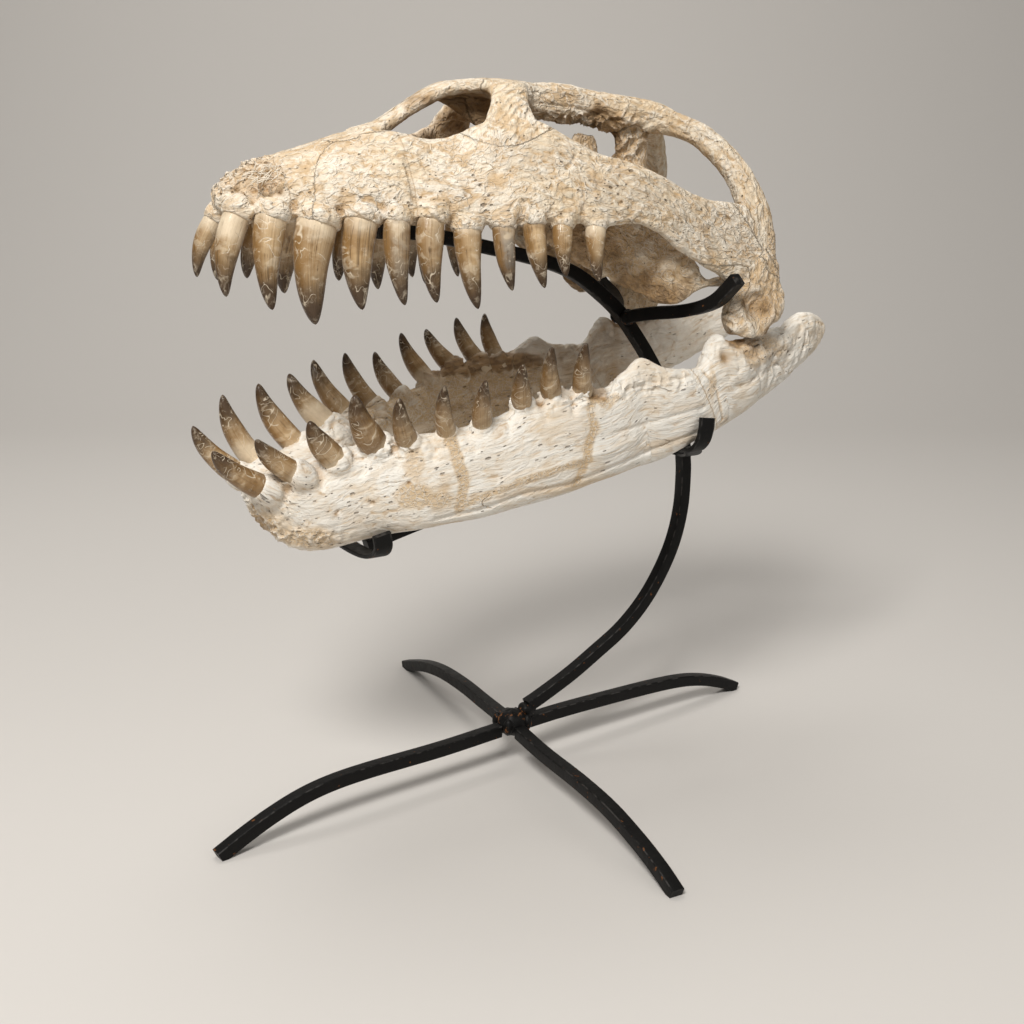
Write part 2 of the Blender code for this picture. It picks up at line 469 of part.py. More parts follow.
def bone_mass(name, collection, midline, paired, triangles):
    """Fuses lofts into one faceted body."""
    mesh = bmesh.new()
    for stations in midline:
        loft(mesh, stations)
    for stations in paired:
        loft(mesh, stations)
        loft(mesh, stations, mirror=True)
    mass = object_from(name, mesh, collection)
    remesh = mass.modifiers.new("fuse", "REMESH")
    remesh.mode = "VOXEL"
    remesh.voxel_size = BONE_VOXEL
    applied(mass)
    relax = mass.modifiers.new("relax", "SMOOTH")
    relax.factor = 0.5
    relax.iterations = 4
    applied(mass)
    count = sum(len(face.vertices) - 2 for face in mass.data.polygons)
    thin = mass.modifiers.new("thin", "DECIMATE")
    thin.ratio = triangles / count
    return applied(mass)


def add_teeth(mass, collection, rows_left, rows_right, direction):
    """Joins both tooth rows to the bone that they grow from."""
    mesh = bmesh.new()
    for side, rows in ((-1, rows_left), (1, rows_right)):
        for row in rows:
            tooth(mesh, row, side, direction)
    boolean(mass, object_from("teeth", mesh, collection), "UNION")


def mirrored(places):
    """The places with their y turned to the right side."""
    return tuple(place * turn for place, turn in zip(places, (1, -1, 1)))


def part_with_cuts(mass, collection, cuts, paired):
    """Takes a thin slab out of the mass at each cut."""
    both = cuts + paired
    both += [(mirrored(c), mirrored(across), up, side, high) for c, across, up, side, high in paired]
    for centre, across, up, half_side, half_up in both:
        normal = Vector(across).normalized()
        rise = (Vector(up) - normal * normal.dot(Vector(up))).normalized()
        turn = Matrix((rise.cross(normal), rise, normal)).transposed().to_4x4()
        size = Matrix.Diagonal((2 * half_side, 2 * half_up, CUT, 1))
        mesh = bmesh.new()
        bmesh.ops.create_cube(mesh, size=1)
        bmesh.ops.transform(mesh, matrix=Matrix.Translation(centre) @ turn @ size, verts=mesh.verts)
        boolean(mass, object_from("cut", mesh, collection), "DIFFERENCE")


def both_sides(midline, paired):
    """Names and places of all bodies, the paired ones on both sides."""
    places = dict(midline)
    for name, place in paired.items():
        places[name + "_left"] = place
        places[name + "_right"] = mirrored(place)
    return places


def loose_parts(mass, collection, names):
    """Splits a mass into its closed bodies, each named by the nearest of the given places."""
    mesh = bmesh.new()
    mesh.from_mesh(mass.data)
    bmesh.ops.triangulate(mesh, faces=mesh.faces)
    seen = set()
    islands = {}
    for start in mesh.verts:
        if start in seen:
            continue
        island = {start}
        border = [start]
        while border:
            for edge in border.pop().link_edges:
                for vert in edge.verts:
                    if vert not in island:
                        island.add(vert)
                        border.append(vert)
        seen |= island
        middle = sum((vert.co for vert in island), Vector()) / len(island)
        name = min(names, key=lambda key: (Vector(names[key]) - middle).length)
        islands.setdefault(name, set()).update(vert.index for vert in island)
    objects = []
    for name, kept in islands.items():
        body = mesh.copy()
        bmesh.ops.delete(body, geom=[v for v in body.verts if v.index not in kept], context="VERTS")
        objects.append(object_from(name, body, collection))
    mesh.free()
    bpy.data.objects.remove(mass)
    return objects


def material(name, colour, roughness, metallic=0.0):
    """A Principled material."""
    made = bpy.data.materials.new(name)
    made.use_nodes = True
    shader = made.node_tree.nodes["Principled BSDF"]
    shader.inputs["Base Color"].default_value = (*colour, 1)
    shader.inputs["Roughness"].default_value = roughness
    shader.inputs["Metallic"].default_value = metallic
    made.diffuse_color = (*colour, 1)
    return made


def swept_bar(name, collection, path, side, count, width=BAR, height=BAR):
    """A square or flat bar of the stand along a smooth path."""
    mesh = bmesh.new()
    bar(mesh, smooth_path(path, count), side, width, height)
    return object_from(name, mesh, collection)


def leg(collection, name, degrees, profile):
    """One leg, its tip cut level with the floor."""
    turn = math.radians(degrees)
    path = [(out * math.cos(turn), out * math.sin(turn), high) for out, high in profile]
    side = (-math.sin(turn), math.cos(turn), 0)
    made = swept_bar("stand_leg_" + name, collection, path, side, 12)
    mesh = bmesh.new()
    mesh.from_mesh(made.data)
    cut = bmesh.ops.bisect_plane(mesh, geom=mesh.verts[:] + mesh.edges[:] + mesh.faces[:],
                                 plane_co=(0, 0, 0), plane_no=(0, 0, -1), clear_outer=True)
    rim = [item for item in cut["geom_cut"] if isinstance(item, bmesh.types.BMEdge)]
    bmesh.ops.contextual_create(mesh, geom=rim)
    bmesh.ops.recalc_face_normals(mesh, faces=mesh.faces)
    mesh.to_mesh(made.data)
    mesh.free()
    return made


def cradle(name, collection, half, side, count):
    """A strap bent to a U, mirrored about the midline."""
    path = [mirrored(point) for point in reversed(half[1:])] + half
    return swept_bar(name, collection, path, side, count, STRAP_WIDTH, STRAP_THICK)


def hub(collection):
    """The weld lump where the legs cross."""
    mesh = bmesh.new()
    bmesh.ops.create_cone(mesh, cap_ends=True, segments=12, radius1=HUB_RADIUS * 0.86,
                          radius2=HUB_RADIUS * 0.9, depth=HUB_TOP - HUB_LOW)
    bmesh.ops.translate(mesh, verts=mesh.verts, vec=(0, 0, (HUB_TOP + HUB_LOW) / 2))
    return object_from("stand_hub", mesh, collection)


def stand(collection):
    """All pieces of the stand."""
    made = [leg(collection, *details) for details in LEGS]
    made.append(hub(collection))
    made.append(swept_bar("stand_post", collection, POST, (0, 1, 0), 18))
    made.append(swept_bar("stand_upper_arm", collection, UPPER_ARM, (0, 1, 0), 21))
    made.append(swept_bar("stand_front_arm", collection, FRONT_ARM, (0, 1, 0), 8))
    made.append(cradle("stand_rear_cradle", collection, REAR_CRADLE, (1, 0, 0), 27))
    made.append(cradle("stand_front_cradle", collection, FRONT_CRADLE, (1, 0, 0), 21))
    for name, path in (("left", FORK), ("right", [mirrored(point) for point in FORK])):
        made.append(swept_bar("stand_fork_" + name, collection, path, (0, 0, 1), 12))
    return made


def main():
    """Builds the skull and its stand."""
    for old in list(bpy.data.objects):
        bpy.data.objects.remove(old)
    collection = bpy.data.collections.new(COLLECTION)
    bpy.context.scene.collection.children.link(collection)
    bone = material("fossil bone", (0.72, 0.62, 0.48), 0.75)
    steel = material("black steel", (0.02, 0.02, 0.02), 0.45)

    mass = bone_mass("cranium", collection, MIDLINE_LOFTS, PAIRED_LOFTS, CRANIUM_TRIANGLES)
    add_teeth(mass, collection, UPPER_LEFT, UPPER_RIGHT, -1)
    part_with_cuts(mass, collection, CRANIUM_CUTS, PAIRED_CRANIUM_CUTS)
    bones = loose_parts(mass, collection, both_sides(CRANIUM_BONES, PAIRED_CRANIUM_BONES))
    mass = bone_mass("mandible", collection, [], [RAMUS], MANDIBLE_TRIANGLES)
    add_teeth(mass, collection, LOWER_LEFT, LOWER_RIGHT, 1)
    part_with_cuts(mass, collection, MANDIBLE_CUTS, PAIRED_MANDIBLE_CUTS)
    bones += loose_parts(mass, collection, both_sides({}, PAIRED_MANDIBLE_BONES))
    for made in bones:
        made.data.materials.append(bone)
    for made in stand(collection):
        made.data.materials.append(steel)


main()
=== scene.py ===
"""Looks of a plesiosaur skull fossil on its forged steel stand.

Metres, Z up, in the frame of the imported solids: the snout points along -X, the animal's left side
faces -Y, the floor is z = 0 and the skull's plane of symmetry is y = 0.

Each mass of bone is lofted strut by strut, fused, carved and parted into its bones. The teeth are
turned one by one, and the stand is bent from square bar and strap.
"""
import itertools
import logging
import math
from collections.abc import Callable, Iterator, Sequence
from contextlib import contextmanager
from dataclasses import dataclass, replace
from enum import Enum

import bpy
import numpy as np
from mathutils import Matrix, Vector
from mathutils.kdtree import KDTree


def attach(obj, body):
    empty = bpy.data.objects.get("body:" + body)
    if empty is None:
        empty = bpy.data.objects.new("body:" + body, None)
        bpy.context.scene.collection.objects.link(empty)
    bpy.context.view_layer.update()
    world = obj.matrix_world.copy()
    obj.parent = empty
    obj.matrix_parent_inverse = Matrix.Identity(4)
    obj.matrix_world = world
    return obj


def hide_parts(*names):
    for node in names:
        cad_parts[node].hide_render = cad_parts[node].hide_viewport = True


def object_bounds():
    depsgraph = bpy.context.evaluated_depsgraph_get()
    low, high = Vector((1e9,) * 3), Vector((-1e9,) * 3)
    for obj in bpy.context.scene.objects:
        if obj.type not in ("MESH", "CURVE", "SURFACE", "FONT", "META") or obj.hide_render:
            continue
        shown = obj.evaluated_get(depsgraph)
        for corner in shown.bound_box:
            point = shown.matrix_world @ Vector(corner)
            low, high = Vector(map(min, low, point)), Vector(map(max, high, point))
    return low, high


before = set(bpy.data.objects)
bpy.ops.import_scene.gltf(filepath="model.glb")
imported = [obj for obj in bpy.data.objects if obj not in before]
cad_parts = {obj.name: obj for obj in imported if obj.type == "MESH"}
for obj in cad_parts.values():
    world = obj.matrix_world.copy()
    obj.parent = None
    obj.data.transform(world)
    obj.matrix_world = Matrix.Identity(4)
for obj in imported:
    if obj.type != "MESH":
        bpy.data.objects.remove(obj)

LOG = logging.getLogger("plesiosaur_skull")
CAD_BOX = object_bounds()
Point = tuple[float, float, float]
Colour = tuple[float, float, float]
Array = np.ndarray
Piece = bpy.types.Object

AHEAD, ASIDE, UP = (1, 0, 0), (0, 1, 0), (0, 0, 1)
HASH_STEPS, HASH_SEED_STEP, HASH_SPREAD = (12.9898, 78.233, 37.719), 7.31, 43758.5453
GOLDEN_STEP = 0.618
SHARPEST_SMOOTH = math.radians(50)
BOX_MARGIN, FLOOR_GAP = 0.0001, 0.0002
COLLAR_DEPTH, COLLAR_REACH, ROOT_DEPTH = 0.01, 0.004, 0.0075
TOOTH_FINENESS = 26


# ---- shader writing
class Signal:
    """A shader socket that takes part in Python arithmetic."""

    def __init__(self, book: "NodeBook", socket: bpy.types.NodeSocket) -> None:
        """Keeps the socket and the book of nodes that it belongs to."""
        self.book = book
        self.socket = socket

    def __add__(self, other: "Signal | float") -> "Signal":
        """Sum of two signals."""
        return self.book.maths("ADD", self, other)

    def __sub__(self, other: "Signal | float") -> "Signal":
        """Difference of two signals."""
        return self.book.maths("SUBTRACT", self, other)

    def __rsub__(self, other: float) -> "Signal":
        """A number less this signal."""
        return self.book.maths("SUBTRACT", other, self)

    def __mul__(self, other: "Signal | float") -> "Signal":
        """Product of two signals."""
        return self.book.maths("MULTIPLY", self, other)

    def __abs__(self) -> "Signal":
        """Size of the signal without its sign."""
        return self.book.maths("ABSOLUTE", self)

    __radd__ = __add__
    __rmul__ = __mul__

    def between(self, low: float, high: float) -> "Signal":
        """Smooth step of the signal.

        Args:
            low: value where the step is 0.
            high: value where the step is 1; it may be the smaller of the two.

        Returns:
            A signal from 0 to 1.
        """
        if low > high:
            return 1.0 - self.between(high, low)
        return self.book.node(
            "ShaderNodeMapRange",
            {"interpolation_type": "SMOOTHSTEP"},
            {"Value": self, "From Min": low, "From Max": high},
        )


class NodeBook:
    """One material and the nodes written into it."""

    def __init__(self, name: str) -> None:
        """Makes an empty Principled material."""
        self.material = bpy.data.materials.new(name)
        self.material.use_nodes = True
        self.tree = self.material.node_tree
        self.shader = self.tree.nodes["Principled BSDF"]

    def link(self, value: object, socket: bpy.types.NodeSocket) -> None:
        """Puts a value on a socket or links a signal to it.

        Args:
            value: a signal, a number, a colour or a vector.
            socket: the input socket.
        """
        if isinstance(value, Signal):
            self.tree.links.new(value.socket, socket)
        elif isinstance(value, tuple) and len(value) == 3 and socket.type == "RGBA":
            socket.default_value = (*value, 1.0)
        else:
            socket.default_value = value

    def node(self, kind: str, settings: dict | None = None, inputs: dict | None = None,
             output: int | str = 0) -> Signal:
        """Adds one node.

        Args:
            kind: the node's type.
            settings: its properties, set first.
            inputs: values or links by socket name or number.
            output: name or number of the output wanted.

        Returns:
            The output as a signal.
        """
        made = self.tree.nodes.new(kind)
        for key, value in (settings or {}).items():
            setattr(made, key, value)
        for key, value in (inputs or {}).items():
            self.link(value, made.inputs[key])
        return Signal(self, made.outputs[output])

    def maths(self, operation: str, *values: "Signal | float") -> Signal:
        """Adds a Math node on numbers and signals."""
        return self.node("ShaderNodeMath", {"operation": operation}, dict(enumerate(values)))

    def mix(self, share: "Signal | float", first: object, second: object) -> Signal:
        """Mixes two colours; the share is the weight of the second."""
        return self.node("ShaderNodeMix", {"data_type": "RGBA"},
                         {0: share, 6: first, 7: second}, 2)

    def layers(self, base: object, *coats: tuple) -> Signal:
        """Lays coats of colour one over another.

        Args:
            base: the first colour or signal.
            coats: share and colour of each coat, from the lowest to the highest.

        Returns:
            The colour of the whole.
        """
        for share, colour in coats:
            base = self.mix(share, base, colour)
        return base

    def place(self) -> Signal:
        """Object coordinates, in metres."""
        return self.node("ShaderNodeTexCoord", output="Object")

    def stretched(self, vector: Signal, scale: Point) -> Signal:
        """Coordinates of a pattern made as many times longer as the scale says, on each axis."""
        return self.node("ShaderNodeMapping", {"vector_type": "TEXTURE"},
                         {"Vector": vector, "Scale": scale})

    def waves(self, vector: Signal, period: float, swirl: float) -> Signal:
        """Swirling ridges a period apart, from 0 in a valley to 1 on a ridge."""
        inputs = {"Vector": vector, "Scale": math.pi / 10 / period, "Distortion": swirl,
                  "Detail": 3.0, "Detail Scale": 0.75}
        return self.node("ShaderNodeTexWave", {"bands_direction": "DIAGONAL"}, inputs, 1)

    def noise(self, vector: Signal, size: float, detail: float = 2.0,
              distortion: float = 0.0) -> Signal:
        """Cloudy noise around one half; the size is that of its largest clouds, in metres."""
        inputs = {"Vector": vector, "Scale": 1 / size, "Detail": detail,
                  "Distortion": distortion}
        return self.node("ShaderNodeTexNoise", inputs=inputs)

    def worms(self, vector: Signal, size: float, width: float) -> Signal:
        """Thin winding lines, 1 on the line; the width is a share of the size between them."""
        return abs(self.noise(vector, size, 1.0, 0.6) - 0.5).between(width, 0.0)

    def cells(self, vector: Signal, size: float, feature: str = "F1",
              output: int = 0) -> Signal:
        """Distance in a cell pattern as a share of the size; output 1 is a colour per cell."""
        return self.node("ShaderNodeTexVoronoi", {"feature": feature},
                         {"Vector": vector, "Scale": 1 / size}, output)

    def field(self, name: str, output: str = "Fac") -> Signal:
        """A value stored on the piece's points."""
        return self.node("ShaderNodeAttribute", {"attribute_name": name}, output=output)

    def bump(self, height: Signal) -> Signal:
        """Relief from a height in metres."""
        return self.node("ShaderNodeBump", inputs={"Distance": 1.0, "Height": height},
                         output="Normal")

    def finish(self, **sockets: object) -> bpy.types.Material:
        """Fills the shader's sockets.

        Args:
            sockets: values by socket name, with _ for a space.

        Returns:
            The finished material.
        """
        for key, value in sockets.items():
            self.link(value, self.shader.inputs[key.replace("_", " ")])
        return self.material


# ---- finishes
@dataclass(frozen=True)
class BoneFinish:
    """Mineralised bone: cream with tan stains, brown in its hollows, wrinkled, cracked and pitted.

    The sizes are those of its patterns, in metres; a pit has a size and a share of it.
    """

    name: str
    cream: Colour = (0.74, 0.625, 0.465)
    pale: Colour = (0.81, 0.755, 0.66)
    tan: Colour = (0.58, 0.41, 0.235)
    rust: Colour = (0.42, 0.255, 0.11)
    brown: Colour = (0.12, 0.068, 0.03)
    grey: Colour = (0.53, 0.495, 0.435)
    grain: Point = (1.6, 1.0, 1.0)
    paleness: float = 0.5
    stained: float = 1.0
    coarse: float = 0.85
    wrinkle: float = 1.0
    fibre: float = 0.45
    thread: float = 0.42
    pitting: float = 0.7
    cloud_size: float = 0.04
    blotch_size: float = 0.012
    rough_size: float = 0.0046
    fibre_size: float = 0.002
    thread_size: float = 0.0058
    fine_size: float = 0.0019
    crack_size: float = 0.03
    craze_size: float = 0.0034
    crowd_size: float = 0.022
    pit_sizes: tuple = ((0.0085, 0.15), (0.0045, 0.18), (0.0026, 0.2))

    def material(self) -> bpy.types.Material:
        """Writes the material.

        Returns:
            The bone material.
        """
        book = NodeBook(self.name)
        place, flow = book.place(), book.field("flow", "Vector")
        lengthwise = book.stretched(flow, self.grain)
        clouds = book.noise(place, self.cloud_size, 3.0, 0.5)
        blotches = book.noise(lengthwise, self.blotch_size, 4.0, 1.0)
        rough = book.noise(lengthwise, self.rough_size, 4.0, 0.7)
        waves = book.waves(lengthwise, self.rough_size, 9.0)
        fibres = book.noise(book.stretched(flow, (9.0, 1.0, 1.0)), self.fibre_size, 3.0, 0.3)
        threads = book.worms(lengthwise, self.thread_size, 0.075) * clouds.between(0.3, 0.48)
        fine = book.noise(lengthwise, self.fine_size, 3.0, 1.2)
        cracks = book.cells(self.swirled(book, lengthwise, 0.01), self.crack_size,
                            "DISTANCE_TO_EDGE")
        crack = cracks.between(0.012, 0.002) * book.noise(place, 0.024).between(0.6, 0.68)
        pits = self.pits(book, place, lengthwise)
        hollow, sediment = book.field("hollow"), book.field("sediment")
        seam, patch = book.field("seam"), book.field("patch", "Color")
        red, green, blue = (self.channel(book, patch, name) for name in ("Red", "Green", "Blue"))
        craze = book.cells(self.swirled(book, place, 0.006), self.craze_size, "DISTANCE_TO_EDGE")
        craze = craze.between(0.1, 0.03) * red.between(0.55, 0.85)
        wrinkled = self.wrinkle * clouds.between(0.7, 0.4)
        valley = waves.between(0.44, 0.06) * wrinkled
        furrow = fibres.between(0.43, 0.28) * self.fibre
        beside = threads.between(0.02, 0.3) * threads.between(0.75, 0.35)
        deep = sediment.between(0.35, 0.95) * (0.35 + 0.65 * rough.between(0.6, 0.38))

        colour = book.layers(
            self.cream,
            (clouds.between(0.38, 0.6) * self.paleness, self.pale),
            (blue * 0.9, self.pale),
            (blotches.between(0.49, 0.63) * 0.78 * self.stained, self.tan),
            (green * (0.35 + 0.6 * blotches), self.grey),
            (red * (0.45 + 0.9 * rough), self.tan),
            (rough.between(0.48, 0.34) * 0.8 * self.stained, self.tan),
            (rough.between(0.38, 0.26) * 0.55, self.rust),
            (rough.between(0.56, 0.7) * 0.6, self.pale),
            (craze * 0.42, self.pale),
            (valley * 0.34, self.tan),
            (fine.between(0.48, 0.34) * 0.45 * self.thread, self.rust),
            (furrow, self.tan),
            (beside * self.thread * 0.5, self.rust),
            (threads.between(0.45, 0.9) * self.thread, self.pale),
            (hollow.between(-0.25, -1.2) * 0.55, self.pale),
            (hollow.between(0.25, 1.4) * 0.7, self.rust),
            # sediment colour from the stored field, which on the cranium also holds painted shade under the
            # roof and in the hollow under the cheeks
            (sediment * (0.3 + 0.7 * rough + 0.35 * blotches), self.rust),
            (deep * 0.62, self.brown),
            (crack * 0.45, self.rust),
            (seam * 0.34, self.rust),
            (pits * self.pitting, self.brown),
        )
        height = (
            rough * (0.004 * self.coarse)
            + blotches * (0.0022 * self.coarse)
            + waves * wrinkled * 0.0007
            + fine * (0.0012 * self.thread)
            + fibres * (0.0012 * self.fibre)
            + threads * (0.0011 * self.thread)
            + craze * 0.0003
            - crack * 0.001
            - seam * 0.0002
            - pits * 0.0016
        )
        roughness = 0.58 + 0.3 * rough
        return book.finish(Base_Color=colour, Roughness=roughness, Normal=book.bump(height),
                           Specular_IOR_Level=0.35)

    @staticmethod
    def swirled(book: NodeBook, vector: Signal, size: float) -> Signal:
        """The vector pushed about by noise, so that straight edges wander.

        Args:
            book: the material's nodes.
            vector: the vector pushed.
            size: size of the swirls, in metres.

        Returns:
            The pushed vector.
        """
        push = book.node("ShaderNodeTexNoise", inputs={"Vector": vector, "Scale": 1 / size,
                                                       "Detail": 2.0}, output="Color")
        scaled = book.node("ShaderNodeVectorMath", {"operation": "SCALE"},
                           {0: push, "Scale": size * 0.9})
        return book.node("ShaderNodeVectorMath", {"operation": "ADD"}, {0: vector, 1: scaled})

    @staticmethod
    def channel(book: NodeBook, colour: Signal, name: str) -> Signal:
        """One channel of a colour."""
        return book.node("ShaderNodeSeparateColor", inputs={"Color": colour}, output=name)

    def pits(self, book: NodeBook, place: Signal, lengthwise: Signal) -> Signal:
        """Small holes, crowded where the piece's pitted field is high.

        Args:
            book: the material's nodes.
            place: object coordinates.
            lengthwise: coordinates along the bone, in which the holes are round.

        Returns:
            1 in a pit and 0 away from it.
        """
        pitted = book.field("pitted")
        crowd = book.noise(place, self.crowd_size).between(0.5, 0.66)
        found = []
        for size, share in self.pit_sizes:
            chance = self.channel(book, book.cells(lengthwise, size, output=1), "Red")
            open_here = (chance + pitted * 0.45 + crowd * 0.22).between(0.9, 0.94)
            found.append(book.cells(lengthwise, size).between(share, share * 0.5) * open_here)
        return book.maths("MAXIMUM", book.maths("MAXIMUM", *found[:2]), found[2])


@dataclass(frozen=True)
class ToothFinish:
    """Old enamel: tan, brown or grey, darker to the tip, with a few pale cracks across it."""

    name: str = "fossil enamel"
    root: Colour = (0.76, 0.64, 0.47)
    tan: Colour = (0.68, 0.49, 0.28)
    brown: Colour = (0.225, 0.12, 0.036)
    grey: Colour = (0.29, 0.265, 0.225)
    tip: Colour = (0.045, 0.023, 0.01)
    chalk: Colour = (0.72, 0.62, 0.47)
    smoke_size: float = 0.012
    chip_size: float = 0.0052
    curl_size: float = 0.0042

    def material(self) -> bpy.types.Material:
        """Writes the material.

        Returns:
            The enamel material.
        """
        book = NodeBook(self.name)
        place = book.place()
        along, wrap = book.field("along"), book.field("wrap", "Vector")
        tone = book.field("tone", "Color")
        grey, dark, rooted = (BoneFinish.channel(book, tone, name)
                              for name in ("Red", "Green", "Blue"))
        rim = book.field("rim")
        lines = book.stretched(wrap, (0.1, 0.9, 0.1))
        striae = book.noise(lines, 1.0, 3.0)
        rings = book.noise(book.stretched(wrap, (2.2, 0.16, 2.2)), 1.0, 2.0, 0.4)
        smoke = book.noise(place, self.smoke_size, 4.0, 0.8)
        chips = book.noise(place, self.chip_size, 3.0, 0.3)
        crack = book.worms(book.stretched(wrap, (1.6, 0.17, 1.6)), 1.0, 0.022)
        crack = crack * smoke.between(0.47, 0.56)
        curls = book.worms(place, self.curl_size, 0.05) * chips.between(0.46, 0.6)
        split = book.worms(lines, 3.0, 0.01) * smoke.between(0.52, 0.42)

        gum = (along + smoke * 0.36 - rooted * 0.42).between(0.3, 0.12)
        colour = book.layers(
            self.tan,
            (dark, self.brown),
            (grey * 0.9, self.grey),
            (smoke.between(0.52, 0.34) * 0.6, self.brown),
            (rings.between(0.46, 0.7) * 0.45, self.tan),
            (striae.between(0.5, 0.7) * 0.45, self.brown),
            # painted shade: the enamel darkens towards the tooth's front and back faces, its edges as the
            # skull is seen from the side
            (rim.between(0.42, 0.98) * 0.88, self.brown),
            ((along + smoke * 0.5).between(0.58, 1.12) * 0.94, self.tip),
            (chips.between(0.58, 0.68) * 0.16, self.chalk),
            (rings.between(0.59, 0.63) * smoke.between(0.4, 0.52) * 0.3, self.chalk),
            (curls * (0.34 - 0.26 * dark), self.chalk),
            (crack * 0.8, self.chalk),
            (split * 0.6, self.tip),
            (gum * (0.45 + 0.5 * chips), self.root),
        )
        height = striae * 0.00034 - crack * 0.00018 - split * 0.00022 + rings * 0.0005
        roughness = 0.2 + 0.24 * chips + gum * 0.25
        return book.finish(Base_Color=colour, Roughness=roughness, Normal=book.bump(height),
                           Specular_IOR_Level=0.36, Coat_Weight=0.1, Coat_Roughness=0.08)


@dataclass(frozen=True)
class SteelFinish:
    """Blackened steel bar with worn edges, scale and a few specks of rust."""

    name: str = "blackened steel"
    black: Colour = (0.005, 0.0048, 0.0046)
    worn: Colour = (0.07, 0.066, 0.062)
    rust: Colour = (0.19, 0.075, 0.025)
    smoky: Colour = (0.012, 0.0115, 0.011)

    def material(self) -> bpy.types.Material:
        """Writes the material.

        Returns:
            The steel material.
        """
        book = NodeBook(self.name)
        place = book.place()
        scale = book.noise(place, 0.006, 4.0)
        grain, drift = book.noise(place, 0.0014), book.noise(place, 0.03)
        edge = book.field("edge").between(0.55, 1.0)
        weld = book.field("weld")
        scuff = edge * scale.between(0.45, 0.62)
        spots = (book.noise(place, 0.0042) + weld * 0.07).between(0.69, 0.76)
        colour = book.layers(self.black, (drift * 0.35, self.smoky), (scuff * 0.55, self.worn),
                             (spots * 0.8, self.rust))
        height = scale * 0.00028 + grain * 0.00008
        roughness = 0.36 + 0.22 * scale + 0.3 * spots
        return book.finish(Base_Color=colour, Roughness=roughness, Normal=book.bump(height),
                           Specular_IOR_Level=0.14)


@dataclass(frozen=True)
class FloorFinish:
    """Plain pale paper sweep."""

    name: str = "pale floor"
    paper: Colour = (0.6, 0.575, 0.545)
    shade: Colour = (0.53, 0.505, 0.475)

    def material(self) -> bpy.types.Material:
        """Writes the material.

        Returns:
            The floor material.
        """
        book = NodeBook(self.name)
        weave = book.noise(book.place(), 0.012, 3.0)
        colour = book.mix(weave * 0.05, self.paper, self.shade)
        return book.finish(Base_Color=colour, Roughness=0.85, Specular_IOR_Level=0.2)


# ---- modelling tools
@contextmanager
def editing() -> Iterator[None]:
    """Edit mode on the active object."""
    bpy.ops.object.mode_set(mode="EDIT")
    yield
    bpy.ops.object.mode_set(mode="OBJECT")


def forms(kind: type, rows: Sequence[tuple], **shared: object) -> tuple:
    """Makes forms of one kind from a table.

    Args:
        kind: their class.
        rows: the first fields of each form.
        shared: the fields that all of them have alike.

    Returns:
        One form for each row.
    """
    return tuple(kind(*row, **shared) for row in rows)


def unit(rows: Array) -> Array:
    """The rows, each brought to length 1."""
    return rows / np.linalg.norm(rows, axis=1, keepdims=True)


def squarish(angle: Array, power: float) -> tuple[Array, Array]:
    """Cosine and sine of an outline that is squarer than a circle when the power is under 1."""
    along, across = np.cos(angle), np.sin(angle)
    return np.sign(along) * np.abs(along) ** power, np.sign(across) * np.abs(across) ** power


def upright_to(broad: Array, tangent: Array) -> Array:
    """What is left of the broad directions at right angles to the tangents."""
    return broad - (broad * tangent).sum(1, keepdims=True) * tangent


def signs(paired: bool) -> tuple[int, ...]:
    """Factors of y that turn a form of the left side into all that is made of it."""
    return (1, -1) if paired else (1,)


